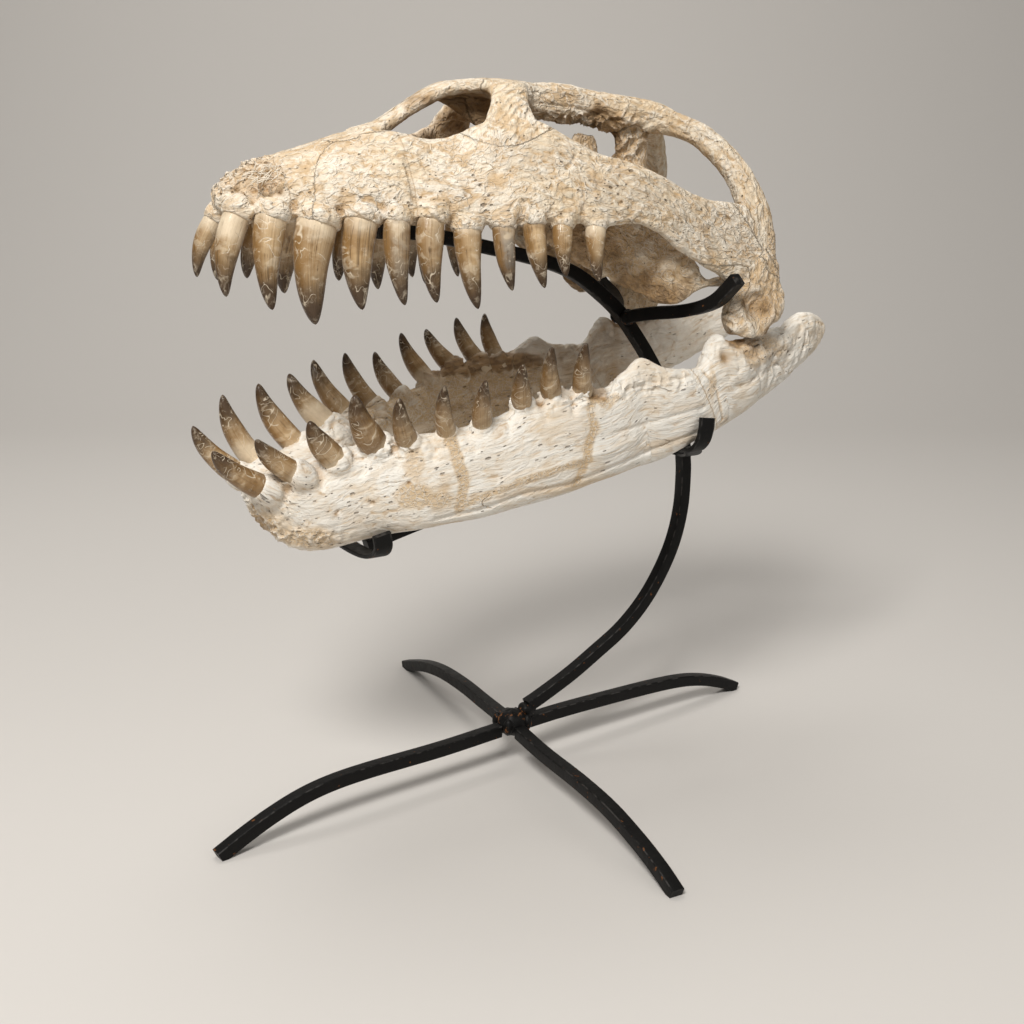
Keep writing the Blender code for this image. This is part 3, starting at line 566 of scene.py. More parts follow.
class Bench:
    """Operators on one mesh object at a time."""

    @staticmethod
    def pick(*pieces: Piece) -> None:
        """Selects these objects and no other; the first one is active."""
        bpy.ops.object.select_all(action="DESELECT")
        for piece in pieces:
            piece.select_set(True)
        bpy.context.view_layer.objects.active = pieces[0]

    @staticmethod
    def points(piece: Piece) -> Array:
        """The piece's points as rows of x, y, z."""
        found = np.empty(len(piece.data.vertices) * 3, np.float32)
        piece.data.vertices.foreach_get("co", found)
        return found.reshape(-1, 3).astype(float)

    @staticmethod
    def normals(piece: Piece) -> Array:
        """The piece's point normals as rows."""
        found = np.empty(len(piece.data.vertices) * 3, np.float32)
        piece.data.vertices.foreach_get("normal", found)
        return found.reshape(-1, 3).astype(float)

    @staticmethod
    def put(piece: Piece, points: Array) -> None:
        """Moves the piece's points to these places."""
        piece.data.vertices.foreach_set("co", points.astype(np.float32).ravel())
        piece.data.update()

    @staticmethod
    def store(piece: Piece, name: str, values: Array) -> None:
        """Stores one number, vector or colour per point.

        Args:
            piece: the object.
            name: name of the field.
            values: one row per point; three columns make a vector and four a colour.
        """
        columns = 1 if values.ndim == 1 else values.shape[1]
        kind = {1: "FLOAT", 3: "FLOAT_VECTOR", 4: "FLOAT_COLOR"}[columns]
        key = {1: "value", 3: "vector", 4: "color"}[columns]
        layer = piece.data.attributes.new(name, kind, "POINT")
        layer.data.foreach_set(key, values.astype(np.float32).ravel())

    @staticmethod
    def apply(piece: Piece, kind: str, **settings: object) -> None:
        """Adds one modifier with these settings and applies it."""
        Bench.pick(piece)
        modifier = piece.modifiers.new(kind.lower(), kind)
        for key, value in settings.items():
            setattr(modifier, key, value)
        bpy.ops.object.modifier_apply(modifier=modifier.name)

    @staticmethod
    def tube(name: str, sides: int, rings: int,
             place: Callable[[Array, Array], Array]) -> Piece:
        """Cuts a cylinder into rings and puts each of its points in place.

        Args:
            name: name of the piece.
            sides: number of points round it.
            rings: number of lengths that it is cut into.
            place: gives the points for arrays of the angle round and the share along.

        Returns:
            The closed tube.
        """
        bpy.ops.object.select_all(action="DESELECT")
        bpy.ops.mesh.primitive_cylinder_add(vertices=sides, radius=1, depth=1,
                                            location=(0, 0, 0))
        made = bpy.context.object
        made.name = name
        with editing():
            bpy.ops.mesh.select_mode(type="EDGE")
            bpy.ops.mesh.select_all(action="DESELECT")
        flat = Bench.points(made)
        for edge in made.data.edges:
            first, second = edge.vertices
            edge.select = bool(abs(flat[first][2] - flat[second][2]) > 0.5)
        with editing():
            bpy.ops.mesh.subdivide(number_cuts=rings - 1)
        flat = Bench.points(made)
        angle, share = np.arctan2(flat[:, 1], flat[:, 0]), flat[:, 2] + 0.5
        Bench.put(made, place(angle, share))
        with editing():
            bpy.ops.mesh.select_all(action="SELECT")
            bpy.ops.mesh.normals_make_consistent(inside=False)
        return made

    @staticmethod
    def joined(name: str, pieces: Sequence[Piece]) -> Piece:
        """Joins objects into one of this name, which it returns."""
        Bench.pick(*pieces)
        if len(pieces) > 1:
            bpy.ops.object.join()
        pieces[0].name = name
        pieces[0].data.name = name
        return pieces[0]

    @staticmethod
    def hand_over(piece: Piece, finish: bpy.types.Material, slot: str,
                  nodes: Sequence[str] = ()) -> None:
        """Dresses a finished piece and hands it to the frame.

        Args:
            piece: the object.
            finish: its material.
            slot: the record's material slot; it is not used.
            nodes: the solids that it stands for.
        """
        piece.data.materials.clear()
        piece.data.materials.append(finish)
        Bench.pick(piece)
        bpy.ops.object.shade_smooth_by_angle(angle=SHARPEST_SMOOTH)
        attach(piece, "root")
        if nodes:
            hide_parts(*nodes)
        LOG.info("%s: %d points for %s", piece.name, len(piece.data.vertices),
                 ", ".join(nodes) or "no solid of its own")


@dataclass(frozen=True)
class Lattice:
    """Smooth random values in space, the same at each run."""

    cell: float
    seed: int = 0

    def at(self, points: Array) -> Array:
        """Reads the values.

        Args:
            points: rows of x, y, z in metres.

        Returns:
            One value from -1 to 1 for each row.
        """
        scaled = points / self.cell
        low = np.floor(scaled)
        part = scaled - low
        part = part * part * (3 - 2 * part)
        total = np.zeros(len(points))
        for corner in itertools.product((0, 1), repeat=3):
            key = (low + corner) @ np.array(HASH_STEPS) + self.seed * HASH_SEED_STEP
            value = np.modf(np.abs(np.sin(key) * HASH_SPREAD))[0]
            total += value * np.prod(np.where(corner, part, 1 - part), axis=1)
        return total * 2 - 1


class Side(Enum):
    """Side of the animal that a paired form lies on."""

    LEFT = -1
    RIGHT = 1
    BOTH = 0

    def signs(self) -> tuple[int, ...]:
        """Signs of y on which the form is made."""
        return (-1, 1) if self is Side.BOTH else (self.value,)


@dataclass(frozen=True)
class Strut:
    """One beam of bone, lofted through stations.

    A station gives x, y, z of the section's two edges, on the left side, its thickness and,
    unless it is 0, its taper.
    """

    name: str
    stations: tuple
    paired: bool = True
    power: float = 2.5
    sides: int = 28
    fineness: int = 4

    def table(self) -> tuple[Array, ...]:
        """First edges, second edges, thicknesses and tapers of the stations."""
        rows = np.array([(*station, 0.0)[:8] for station in self.stations], float)
        return rows[:, :3], rows[:, 3:6], rows[:, 6], rows[:, 7]

    def section(self, angle: Array, share: Array) -> Array:
        """Places points on the beam.

        Args:
            angle: angle round the section, from its second edge.
            share: share along the beam.

        Returns:
            Rows of x, y, z.
        """
        rows = self.table()
        at = share * (len(self.stations) - 1)
        low_edge, high_edge, thick, taper = (Strut.eased(row, at) for row in rows)
        centres = (rows[0] + rows[1]) / 2
        tangents = unit(np.gradient(centres, axis=0))
        thins = unit(np.cross(upright_to(rows[1] - rows[0], tangents), tangents))
        thin = unit(Strut.eased(thins, at))
        along, across = squarish(angle, 2 / self.power)
        sideways = across * (thick / 2) * (1 - taper * along)
        middle, half = (low_edge + high_edge) / 2, (high_edge - low_edge) / 2
        return middle + along[:, None] * half + sideways[:, None] * thin

    @staticmethod
    def eased(row: Array, at: Array) -> Array:
        """Reads a row of values at positions between its entries, on a smooth curve.

        Args:
            row: one entry per station.
            at: positions counted in stations.

        Returns:
            One entry per position.
        """
        slopes = np.gradient(row, axis=0)
        low = np.minimum(at.astype(int), len(row) - 2)
        part = at - low
        if row.ndim > 1:
            part = part[:, None]
        return (
            row[low] * (2 * part ** 3 - 3 * part ** 2 + 1)
            + slopes[low] * (part ** 3 - 2 * part ** 2 + part)
            + row[low + 1] * (3 * part ** 2 - 2 * part ** 3)
            + slopes[low + 1] * (part ** 3 - part ** 2)
        )

    def line(self) -> Array:
        """Points of the beam's centre line, from its first station to its last."""
        at = np.linspace(0, 1, 200) * (len(self.stations) - 1)
        first, second = self.table()[:2]
        return (Strut.eased(first, at) + Strut.eased(second, at)) / 2

    def build(self) -> list[Piece]:
        """Makes the beam, on both sides if it is paired.

        Returns:
            One or two closed tubes.
        """
        return [Bench.tube(self.name, self.sides, self.fineness * (len(self.stations) - 1),
                           lambda angle, share: self.section(angle, share) * (1, sign, 1))
                for sign in signs(self.paired)]


@dataclass(frozen=True)
class ToothPlan:
    """One tooth: its gum line on the left side, its tip from there, its thickness and its tone."""

    x: float
    out: float
    z: float
    forward: float
    outward: float
    rise: float
    radius: float
    grey: float = 0.0
    dark: float = 0.4
    rooted: float = 0.2

    def ends(self, sign: int) -> tuple[Array, Array, Array]:
        """Line of the tooth.

        Args:
            sign: -1 on the left side and 1 on the right.

        Returns:
            Its base, the point that its bend pulls towards, and its tip.
        """
        base = np.array((self.x, sign * self.out, self.z))
        lean = np.array((-self.forward, sign * self.outward, 0.0))
        tip = base + lean + np.array((0, 0, self.rise))
        bend = np.array((-0.11 * abs(self.rise), 0.0, 0.0))
        return base, (base + tip) / 2 + lean * 0.2 + bend, tip

    def centre(self, sign: int, share: Array) -> Array:
        """Points of the centre line at these shares; below 0 they are in the bone."""
        base, middle, tip = self.ends(sign)
        share = share[:, None]
        curve = base * (1 - share) ** 2 + middle * 2 * share * (1 - share) + tip * share ** 2
        return np.where(share < 0, base + (middle - base) * 2 * share, curve)

    def tube(self, sign: int, angle: Array, share: Array, radius: Array) -> Array:
        """Points of a tube round the centre line.

        Args:
            sign: side of the skull.
            angle: angle round the tube.
            share: share along the tooth.
            radius: radius at each point.

        Returns:
            Rows of x, y, z.
        """
        centre = self.centre(sign, share)
        ahead = unit(self.centre(sign, share + 0.02) - self.centre(sign, share - 0.02))
        side = unit(np.cross(ahead, AHEAD))
        front = np.cross(side, ahead)
        return centre + (front * np.cos(angle)[:, None] + side * np.sin(angle)[:, None] * 0.94
                         ) * radius[:, None]

    def collar(self, sign: int) -> Piece:
        """The swelling of the jaw round the tooth."""
        depth, reach = COLLAR_DEPTH / abs(self.rise), COLLAR_REACH / abs(self.rise)

        def place(angle: Array, share: Array) -> Array:
            at = -depth + (depth + reach) * share
            swell = 0.35 + 0.98 * np.sin(share * 2.25) ** 0.8
            return self.tube(sign, angle, at, self.radius * swell)

        return Bench.tube("collar", 18, 9, place)

    def build(self, sign: int, seed: float) -> Piece:
        """Makes the tooth.

        Args:
            sign: side of the skull.
            seed: number that makes this tooth differ from the others.

        Returns:
            The closed tooth with its fields.
        """
        seen: dict[str, Array] = {}
        depth = ROOT_DEPTH / abs(self.rise)

        def place(angle: Array, share: Array) -> Array:
            at = -depth + (1 + depth) * (1 - (1 - share) ** 1.35)
            inner = np.clip(at, 0, 1)
            ridges = 0.01 * np.cos(7 * angle + seed * 9) + 0.007 * np.cos(13 * angle + seed * 5)
            profile = np.hypot((1 - inner ** 1.9) ** 0.74, 0.25 * np.sqrt(1 - inner ** 14))
            radius = self.radius * np.clip(profile, 0.03, 1)
            radius *= 1 + ridges * (1 - inner) + 0.03 * np.cos(at * 9 + seed * 12)
            radius *= 1 + 0.35 * np.minimum(at, 0) / depth
            seen["along"] = at
            seen["wrap"] = np.stack((np.cos(angle) + seed * 7, at, np.sin(angle)), axis=1)
            # painted shade mask: 1 on the tooth's front and back faces, 0 on the faces turned to the sides
            # of the skull
            seen["rim"] = np.abs(np.cos(angle))
            return self.tube(sign, angle, at, radius)

        tooth = Bench.tube("tooth", TOOTH_FINENESS, TOOTH_FINENESS, place)
        for field, values in seen.items():
            Bench.store(tooth, field, values)
        tone = np.tile((self.grey, self.dark, self.rooted, 1.0), (len(seen["along"]), 1))
        Bench.store(tooth, "tone", tone)
        return tooth


@dataclass(frozen=True)
class Cut:
    """Thin cut where two bones meet: centre, direction across, up direction and half sizes."""

    centre: Point
    across: Point
    up: Point
    half_side: float
    half_up: float
    paired: bool = False
    width: float = 0.00006
    stain_width: float = 0.0007
    wander: float = 0.0009

    def slabs(self) -> list[Piece]:
        """Makes the slab taken away, on both sides if it is paired."""
        found = []
        for sign in signs(self.paired):
            turn = Vector((1, sign, 1))
            normal = (Vector(self.across) * turn).normalized()
            rise = (Vector(self.up) - normal * normal.dot(Vector(self.up))).normalized()
            frame_of_slab = Matrix((rise.cross(normal), rise, normal)).transposed().to_4x4()
            size = Matrix.Diagonal((2 * self.half_side, 2 * self.half_up, self.width, 1))
            bpy.ops.object.select_all(action="DESELECT")
            bpy.ops.mesh.primitive_cube_add(size=1, location=(0, 0, 0))
            slab = bpy.context.object
            slab.matrix_world = Matrix.Translation(Vector(self.centre) * turn) @ frame_of_slab @ size
            bpy.ops.object.transform_apply(location=True, rotation=True, scale=True)
            found.append(slab)
        return found

    def seam(self, points: Array, ragged: Array) -> Array:
        """Strength of the stain along the cut.

        Args:
            points: rows of x, y, z.
            ragged: noise at each point, from -1 to 1.

        Returns:
            1 on the cut, falling to 0 away from it.
        """
        seam = np.zeros(len(points))
        for sign in signs(self.paired):
            turn = np.array((1, sign, 1))
            across, up = (np.array(way) * turn for way in (self.across, self.up))
            across = across / np.linalg.norm(across)
            up = up - across * (up @ across)
            up = up / np.linalg.norm(up)
            away = points - np.array(self.centre) * turn
            inside = (np.abs(away @ up) < self.half_up) & (
                np.abs(away @ np.cross(up, across)) < self.half_side)
            near = np.abs(away @ across + ragged * self.wander)
            seam = np.maximum(seam, np.exp(-((near / self.stain_width) ** 2)) * inside)
        return seam


@dataclass(frozen=True)
class Groove:
    """Line pressed into the outer face of a side, seen from that side as x and z."""

    points: tuple
    width: float
    depth: float
    filled: float = 0.0
    side: Side = Side.LEFT

    def share(self, points: Array, normals: Array) -> Array:
        """Share of the groove's full depth at each point.

        Args:
            points: rows of x, y, z.
            normals: their normals.

        Returns:
            1 on the line, falling to 0 away from it and on faces turned from the side.
        """
        flat = points[:, (0, 2)]
        near = np.full(len(points), 9.0)
        for first, second in itertools.pairwise(np.array(self.points, float)):
            step = second - first
            share = np.clip(((flat - first) @ step) / (step @ step), 0, 1)
            near = np.minimum(near, np.linalg.norm(flat - first - share[:, None] * step, axis=1))
        facing = np.zeros(len(points))
        for sign in self.side.signs():
            outer = np.clip(normals[:, 1] * sign * 3, 0, 1) * (points[:, 1] * sign > 0)
            facing = np.maximum(facing, outer)
        return np.exp(-((near / self.width) ** 2)) * facing


@dataclass(frozen=True)
class Pit:
    """Round hollow; a paired one is made on both sides."""

    centre: Point
    radius: float
    depth: float
    paired: bool = True

    def share(self, points: Array) -> Array:
        """Share of the pit's full depth at each point; its middle is moved to the surface."""
        found = np.zeros(len(points))
        for sign in signs(self.paired):
            away = np.linalg.norm(points - np.array(self.centre) * (1, sign, 1), axis=1)
            away = np.linalg.norm(points - points[away.argmin()], axis=1)
            found = np.maximum(found, np.exp(-((away / self.radius) ** 2)))
        return found


@dataclass(frozen=True)
class Crumple:
    """Region of rough, broken or strongly modelled bone."""

    centre: Point
    radii: Point
    cell: float
    height: float
    paired: bool = False

    def relief(self, points: Array, seed: int) -> Array:
        """Height of the broken surface at each point.

        Args:
            points: rows of x, y, z.
            seed: number that makes the region differ from the others.

        Returns:
            Heights in metres.
        """
        weight = np.zeros(len(points))
        for sign in signs(self.paired):
            away = (points - np.array(self.centre) * (1, sign, 1)) / self.radii
            weight = np.maximum(weight, np.clip(1.6 - 1.1 * np.linalg.norm(away, axis=1), 0, 1))
        chosen = np.flatnonzero(weight)
        height = np.zeros(len(points))
        found = Crumple.folds(points[chosen], self.cell, seed)
        height[chosen] = self.height * weight[chosen] * (found - 0.15)
        return height

    @staticmethod
    def folds(points: Array, cell: float, seed: int) -> Array:
        """Noise with sharp winding folds.

        Args:
            points: rows of x, y, z.
            cell: size of the folds, in metres.
            seed: number of this pattern.

        Returns:
            Values from -1 in a fold to 1.
        """
        push = np.stack([Lattice(cell * 1.6, seed + axis).at(points) for axis in range(3)], axis=1)
        pushed = points + push * cell * 0.7
        broad = np.abs(Lattice(cell, seed + 3).at(pushed))
        fine = np.abs(Lattice(cell * 0.46, seed + 4).at(pushed))
        return np.clip(3.2 * broad + 1.2 * fine, 0, 2) - 1


class Tone(Enum):
    """What a stain changes."""

    TAN = 0
    GREY = 1
    PALE = 2
    # darkening for sediment, and for painted shade where a stain stands in for it
    SEDIMENT = 3
    PITTED = 4


@dataclass(frozen=True)
class Stain:
    """Patch of another tone, an ellipsoid with a ragged edge."""

    centre: Point
    radii: Point
    strength: float
    tone: Tone
    paired: bool = False

    def share(self, points: Array, ragged: Array) -> Array:
        """Share of the patch at each point.

        Args:
            points: rows of x, y, z.
            ragged: noise at each point, from -1 to 1.

        Returns:
            Values from 0 to the patch's strength.
        """
        found = np.zeros(len(points))
        for sign in signs(self.paired):
            away = (points - np.array(self.centre) * (1, sign, 1)) / self.radii
            away = np.linalg.norm(away, axis=1)
            found = np.maximum(found, np.clip((1.12 + 0.55 * ragged - away) * 2.4, 0, 1))
        return self.strength * found


@dataclass
class BoneMass:
    """Bones that were lofted and fused as one and are parted along their joints."""

    name: str
    struts: Sequence[Strut]
    left_teeth: Sequence[ToothPlan]
    right_teeth: Sequence[ToothPlan]
    cuts: Sequence[Cut]
    places: dict[str, Point]
    paired_places: dict[str, Point]
    finish: BoneFinish
    grooves: Sequence[Groove] = ()
    pits: Sequence[Pit] = ()
    crumples: Sequence[Crumple] = ()
    stains: Sequence[Stain] = ()
    seed: int = 1
    folded: float = 0.00026
    fold_sizes: tuple[float, float] = (0.012, 0.0052)
    swell: float = 0.0008
    swell_size: float = 0.021
    inset: float = 0.0004
    gap_width: float = 0.0024
    gap_reach: float = 0.011
    hollow_depth: float = 0.0016
    hollow_rounds: int = 24
    ragged_sizes: tuple[float, float] = (0.012, 0.0048)
    voxel: float = 0.0011

    def fuse(self) -> Piece:
        """Lofts the struts and the collars and fuses them into one body."""
        pieces = [tube for strut in self.struts for tube in strut.build()]
        for sign, plans in ((-1, self.left_teeth), (1, self.right_teeth)):
            pieces += [plan.collar(sign) for plan in plans]
        mass = Bench.joined(self.name, pieces)
        Bench.apply(mass, "REMESH", mode="VOXEL", voxel_size=self.voxel)
        Bench.apply(mass, "SMOOTH", factor=0.5, iterations=5)
        return mass

    def gaps(self) -> list[Groove]:
        """Grooves in the jaw's outer face between one tooth and the next."""
        found = []
        for side, plans in ((Side.LEFT, self.left_teeth), (Side.RIGHT, self.right_teeth)):
            for first, second in itertools.pairwise(plans):
                x, z = (first.x + second.x) / 2, (first.z + second.z) / 2
                deep = -math.copysign(self.gap_reach, first.rise)
                lean = 0.0015 * math.sin(x * 900)
                depth = 0.0017 + 0.0006 * math.sin(x * 2100)
                line = ((x, z - deep * 0.3), (x + lean, z + deep * 0.4), (x - lean, z + deep))
                found.append(Groove(line, self.gap_width, depth, side=side))
        return found

    def calm(self, points: Array) -> Array:
        """Share of the folds left at each point: few are left on the collars of the teeth."""
        left = np.ones(len(points))
        for sign, plans in ((-1, self.left_teeth), (1, self.right_teeth)):
            for plan in plans:
                away = np.linalg.norm(points - (plan.x, sign * plan.out, plan.z), axis=1)
                left = np.minimum(left, 1 - 0.85 * np.exp(-((away / plan.radius / 1.7) ** 4)))
        return left

    def relief(self, points: Array, normals: Array) -> Array:
        """Height of the carving at each point, outwards along its normal.

        Args:
            points: rows of x, y, z.
            normals: their normals.

        Returns:
            Heights in metres.
        """
        broad, fine = self.fold_sizes
        height = -self.folded * Crumple.folds(points, broad, self.seed + 20)
        height -= self.folded * 0.5 * Crumple.folds(points, fine, self.seed + 30)
        height += self.swell * Lattice(self.swell_size, self.seed).at(points)
        height *= self.calm(points)
        for groove in (*self.grooves, *self.gaps()):
            height -= groove.depth * groove.share(points, normals)
        for index, crumple in enumerate(self.crumples):
            height += crumple.relief(points, self.seed + 40 + 6 * index)
        for pit in self.pits:
            height -= pit.depth * pit.share(points)
        return height - self.inset

    def carve(self, mass: Piece) -> None:
        """Carves the relief and keeps the body within the solids' box."""
        points, normals = Bench.points(mass), Bench.normals(mass)
        moved = points + normals * self.relief(points, normals)[:, None]
        low, high = (np.array(corner) for corner in CAD_BOX)
        Bench.put(mass, np.clip(moved, low + BOX_MARGIN, high - BOX_MARGIN))

    def hollow(self, mass: Piece) -> Array:
        """How far each point lies below the smoothed surface, as a share of the full depth."""
        points, normals = Bench.points(mass), Bench.normals(mass)
        ends = np.empty(len(mass.data.edges) * 2, np.int32)
        mass.data.edges.foreach_get("vertices", ends)
        ends = np.concatenate((ends.reshape(-1, 2), ends.reshape(-1, 2)[:, ::-1]))
        count = np.bincount(ends[:, 0], minlength=len(points))[:, None]
        smooth = points.copy()
        for _ in range(self.hollow_rounds):
            total = np.stack([np.bincount(ends[:, 0], smooth[ends[:, 1], axis], len(points))
                              for axis in range(3)], axis=1)
            smooth = total / np.maximum(count, 1)
        return ((smooth - points) * normals).sum(1) / self.hollow_depth

    def inner(self, points: Array, normals: Array) -> Array:
        """Share of dark sediment at each point, from 0 to 1."""
        return np.clip(-normals[:, 1] * np.sign(points[:, 1]) * 1.6 - 0.2, 0, 1)

    def flow(self, points: Array) -> Array:
        """Coordinates that run with the bones.

        Args:
            points: rows of x, y, z.

        Returns:
            Rows of the length along the nearest beam, the distance above its line and y.
        """
        lines = [strut.line() for strut in self.struts]
        ways = unit(np.concatenate([np.gradient(line, axis=0) for line in lines]))
        lengths = np.concatenate([
            np.cumsum(np.linalg.norm(np.diff(line, axis=0, prepend=line[:1]), axis=1)) + line[0, 0]
            for line in lines])
        places = np.concatenate(lines)
        tree = KDTree(len(places))
        for index, place in enumerate(places):
            tree.insert(place, index)
        tree.balance()
        folded = points * np.where(points[:, 1:2] > 0, (1, -1, 1), (1, 1, 1))
        nearest = np.fromiter((tree.find(point)[1] for point in folded), int, len(folded))
        way, off = ways[nearest], folded - places[nearest]
        rise = unit(np.cross(way, ASIDE))
        along = lengths[nearest] + (off * way).sum(1) + 0.5 * (points[:, 1] > 0)
        return np.stack((along, (off * rise).sum(1), folded[:, 1]), axis=1)

    def paint(self, mass: Piece) -> None:
        """Stores the fields that the finish reads."""
        points, normals = Bench.points(mass), Bench.normals(mass)
        broad, fine = self.ragged_sizes
        ragged = Lattice(broad, self.seed + 7).at(points) * 0.6
        ragged += Lattice(fine, self.seed + 8).at(points) * 0.4
        tones = np.zeros((len(points), 4))
        tones[:, 3] = 1.0
        pitted = np.zeros(len(points))
        # darkened field: sediment colour, with the painted shade that the cranium's inner() and some of its
        # stains add
        dark = self.inner(points, normals) * np.clip(0.75 + ragged, 0, 1)
        for stain in self.stains:
            share = stain.share(points, ragged)
            if stain.tone is Tone.SEDIMENT:
                dark = np.maximum(dark, share)
            elif stain.tone is Tone.PITTED:
                pitted = np.maximum(pitted, share)
            else:
                column = stain.tone.value
                tones[:, column] = np.maximum(tones[:, column], share)
        for groove in self.grooves:
            if groove.filled:
                line = np.clip(groove.share(points, normals) * 3.0 + ragged * 1.5 - 0.85, 0, 1)
                tones[:, 0] = np.maximum(tones[:, 0], groove.filled * line)
        for pit in self.pits:
            if pit.depth > 0:
                dark = np.maximum(dark, pit.share(points))
        seams = [cut.seam(points, ragged) for cut in self.cuts]
        Bench.store(mass, "hollow", self.hollow(mass))
        Bench.store(mass, "sediment", dark)
        Bench.store(mass, "pitted", pitted)
        Bench.store(mass, "seam", np.max(seams, axis=0) * 0.6)
        Bench.store(mass, "patch", tones)

    def part(self, mass: Piece) -> dict[str, Piece]:
        """Parts the body along its cuts.

        Args:
            mass: the fused body.

        Returns:
            The bones by name.
        """
        for slab in itertools.chain.from_iterable(cut.slabs() for cut in self.cuts):
            Bench.apply(mass, "BOOLEAN", solver="MANIFOLD", operation="DIFFERENCE", object=slab)
            bpy.data.objects.remove(slab)
        Bench.pick(mass)
        bpy.ops.mesh.separate(type="LOOSE")
        places = dict(self.places)
        for name, (x, y, z) in self.paired_places.items():
            places[name + "_left"], places[name + "_right"] = (x, y, z), (x, -y, z)
        groups: dict[str, list[Piece]] = {}
        for piece in list(bpy.context.selected_objects):
            middle = Vector(Bench.points(piece).mean(0))
            name = min(places, key=lambda key: (Vector(places[key]) - middle).length)
            groups.setdefault(name, []).append(piece)
        return {name: Bench.joined(name + "_bone", pieces) for name, pieces in groups.items()}

    def tooth_rows(self) -> None:
        """Makes the teeth of both sides, one piece for each row."""
        enamel = ToothFinish().material()
        for side, plans in ((Side.LEFT, self.left_teeth), (Side.RIGHT, self.right_teeth)):
            teeth = [plan.build(side.value,
                                math.modf((index + 1) * GOLDEN_STEP + self.seed * 0.37)[0])
                     for index, plan in enumerate(plans)]
            row = Bench.joined(f"{self.name}_teeth_{side.name.lower()}", teeth)
            Bench.hand_over(row, enamel, "fossil_bone")

    def build(self) -> None:
        """Fuses, carves, paints, parts and dresses the bones and adds the teeth."""
        mass = self.fuse()
        self.carve(mass)
        self.paint(mass)
        finish = self.finish.material()
        for name, bone in sorted(self.part(mass).items()):
            Bench.store(bone, "flow", self.flow(Bench.points(bone)))
            Bench.hand_over(bone, finish, "fossil_bone", [name])
        self.tooth_rows()


@dataclass
class Cranium(BoneMass):
    """Skull without its lower jaws."""

    def inner(self, points: Array, normals: Array) -> Array:
        """Sediment on faces that look into the orbits, the temporal openings and the palate, with painted
        shade on faces that look down under the roof of the skull.
        """
        x, out, z = points[:, 0], np.abs(points[:, 1]), points[:, 2]
        inward = np.clip(-normals[:, 1] * np.sign(points[:, 1]) * 1.8 - 0.1, 0, 1)
        inside = (x > -0.1) & (out < 0.072) & (z < 0.501) & (z > 0.405) & (x < 0.078)
        floor = np.clip((normals[:, 2] - 0.65) * 4, 0, 1) * (z < 0.45) * (out < 0.052)
        # painted shade: faces turned downwards high in the skull are darkened like the shadow under its
        # roof
        roof = np.clip(-normals[:, 2] * 1.5 - 0.3, 0, 1) * (z > 0.47) * 0.6
        return np.clip(inward * 0.75 + floor + roof, 0, 1) * inside


@dataclass(frozen=True)
class Needles:
    """Fine threads of bone left lying across a broken hollow."""

    centre: Point = (-0.1925, -0.0345, 0.443)
    ahead: Point = (0.93, -0.35, 0.12)
    above: Point = (0.05, -0.28, 0.96)
    spread: float = 0.0085
    count: int = 34
    thickness: float = 0.00038
    shortest: float = 0.0018
    longer_by: float = 0.0026
    steps: Point = (GOLDEN_STEP, 0.755, 0.571)

    def build(self, finish: bpy.types.Material) -> None:
        """Makes the threads as one piece, in the bone's finish."""
        threads = []
        for index in range(self.count):
            turn, far, slope = (math.modf((index + 1) * step)[0] for step in self.steps)
            reach = self.spread * far ** 0.5
            middle = Vector(self.centre) + Vector(self.ahead) * (reach * math.cos(turn * 6.283))
            middle += Vector(self.above) * (reach * 0.8 * math.sin(turn * 6.283))
            angle = 0.5 + (slope - 0.5) * 2.4
            way = Vector(self.ahead) * math.cos(angle) + Vector(self.above) * math.sin(angle)
            half = self.shortest + self.longer_by * turn
            threads.append(self.thread(middle - way * half, middle + way * half))
        Bench.hand_over(Bench.joined("snout_threads", threads), finish, "fossil_bone")

    def thread(self, first: Vector, last: Vector) -> Piece:
        """One thread, thinner at its ends.

        Args:
            first: one end.
            last: the other end.

        Returns:
            The closed thread.
        """
        way = (last - first).normalized()
        side = way.orthogonal().normalized()
        other = way.cross(side)

        def place(angle: Array, share: Array) -> Array:
            radius = self.thickness * (0.35 + 0.65 * np.sin(share * math.pi))
            bow = -0.001 * np.sin(share * math.pi)
            line = np.array(first) + share[:, None] * np.array(last - first)
            line = line + bow[:, None] * np.array((0.35, 0.93, 0.0))
            round_it = np.cos(angle)[:, None] * np.array(side)
            round_it = round_it + np.sin(angle)[:, None] * np.array(other)
            return line + radius[:, None] * round_it

        return Bench.tube("thread", 8, 6, place)


@dataclass
class Mandible(BoneMass):
    """Both lower jaws, joined at the chin."""

    folded: float = 0.00006

    def inner(self, points: Array, normals: Array) -> Array:
        """Sediment on the faces that look to the middle of the mouth."""
        inward = np.clip(-normals[:, 1] * np.sign(points[:, 1]) * 1.6 - 0.15, 0, 1)
        behind = np.clip((points[:, 0] + 0.08) / 0.09, 0.15, 1)
        return inward * behind * np.clip((0.2 - points[:, 0]) / 0.05, 0.2, 1) * 0.38


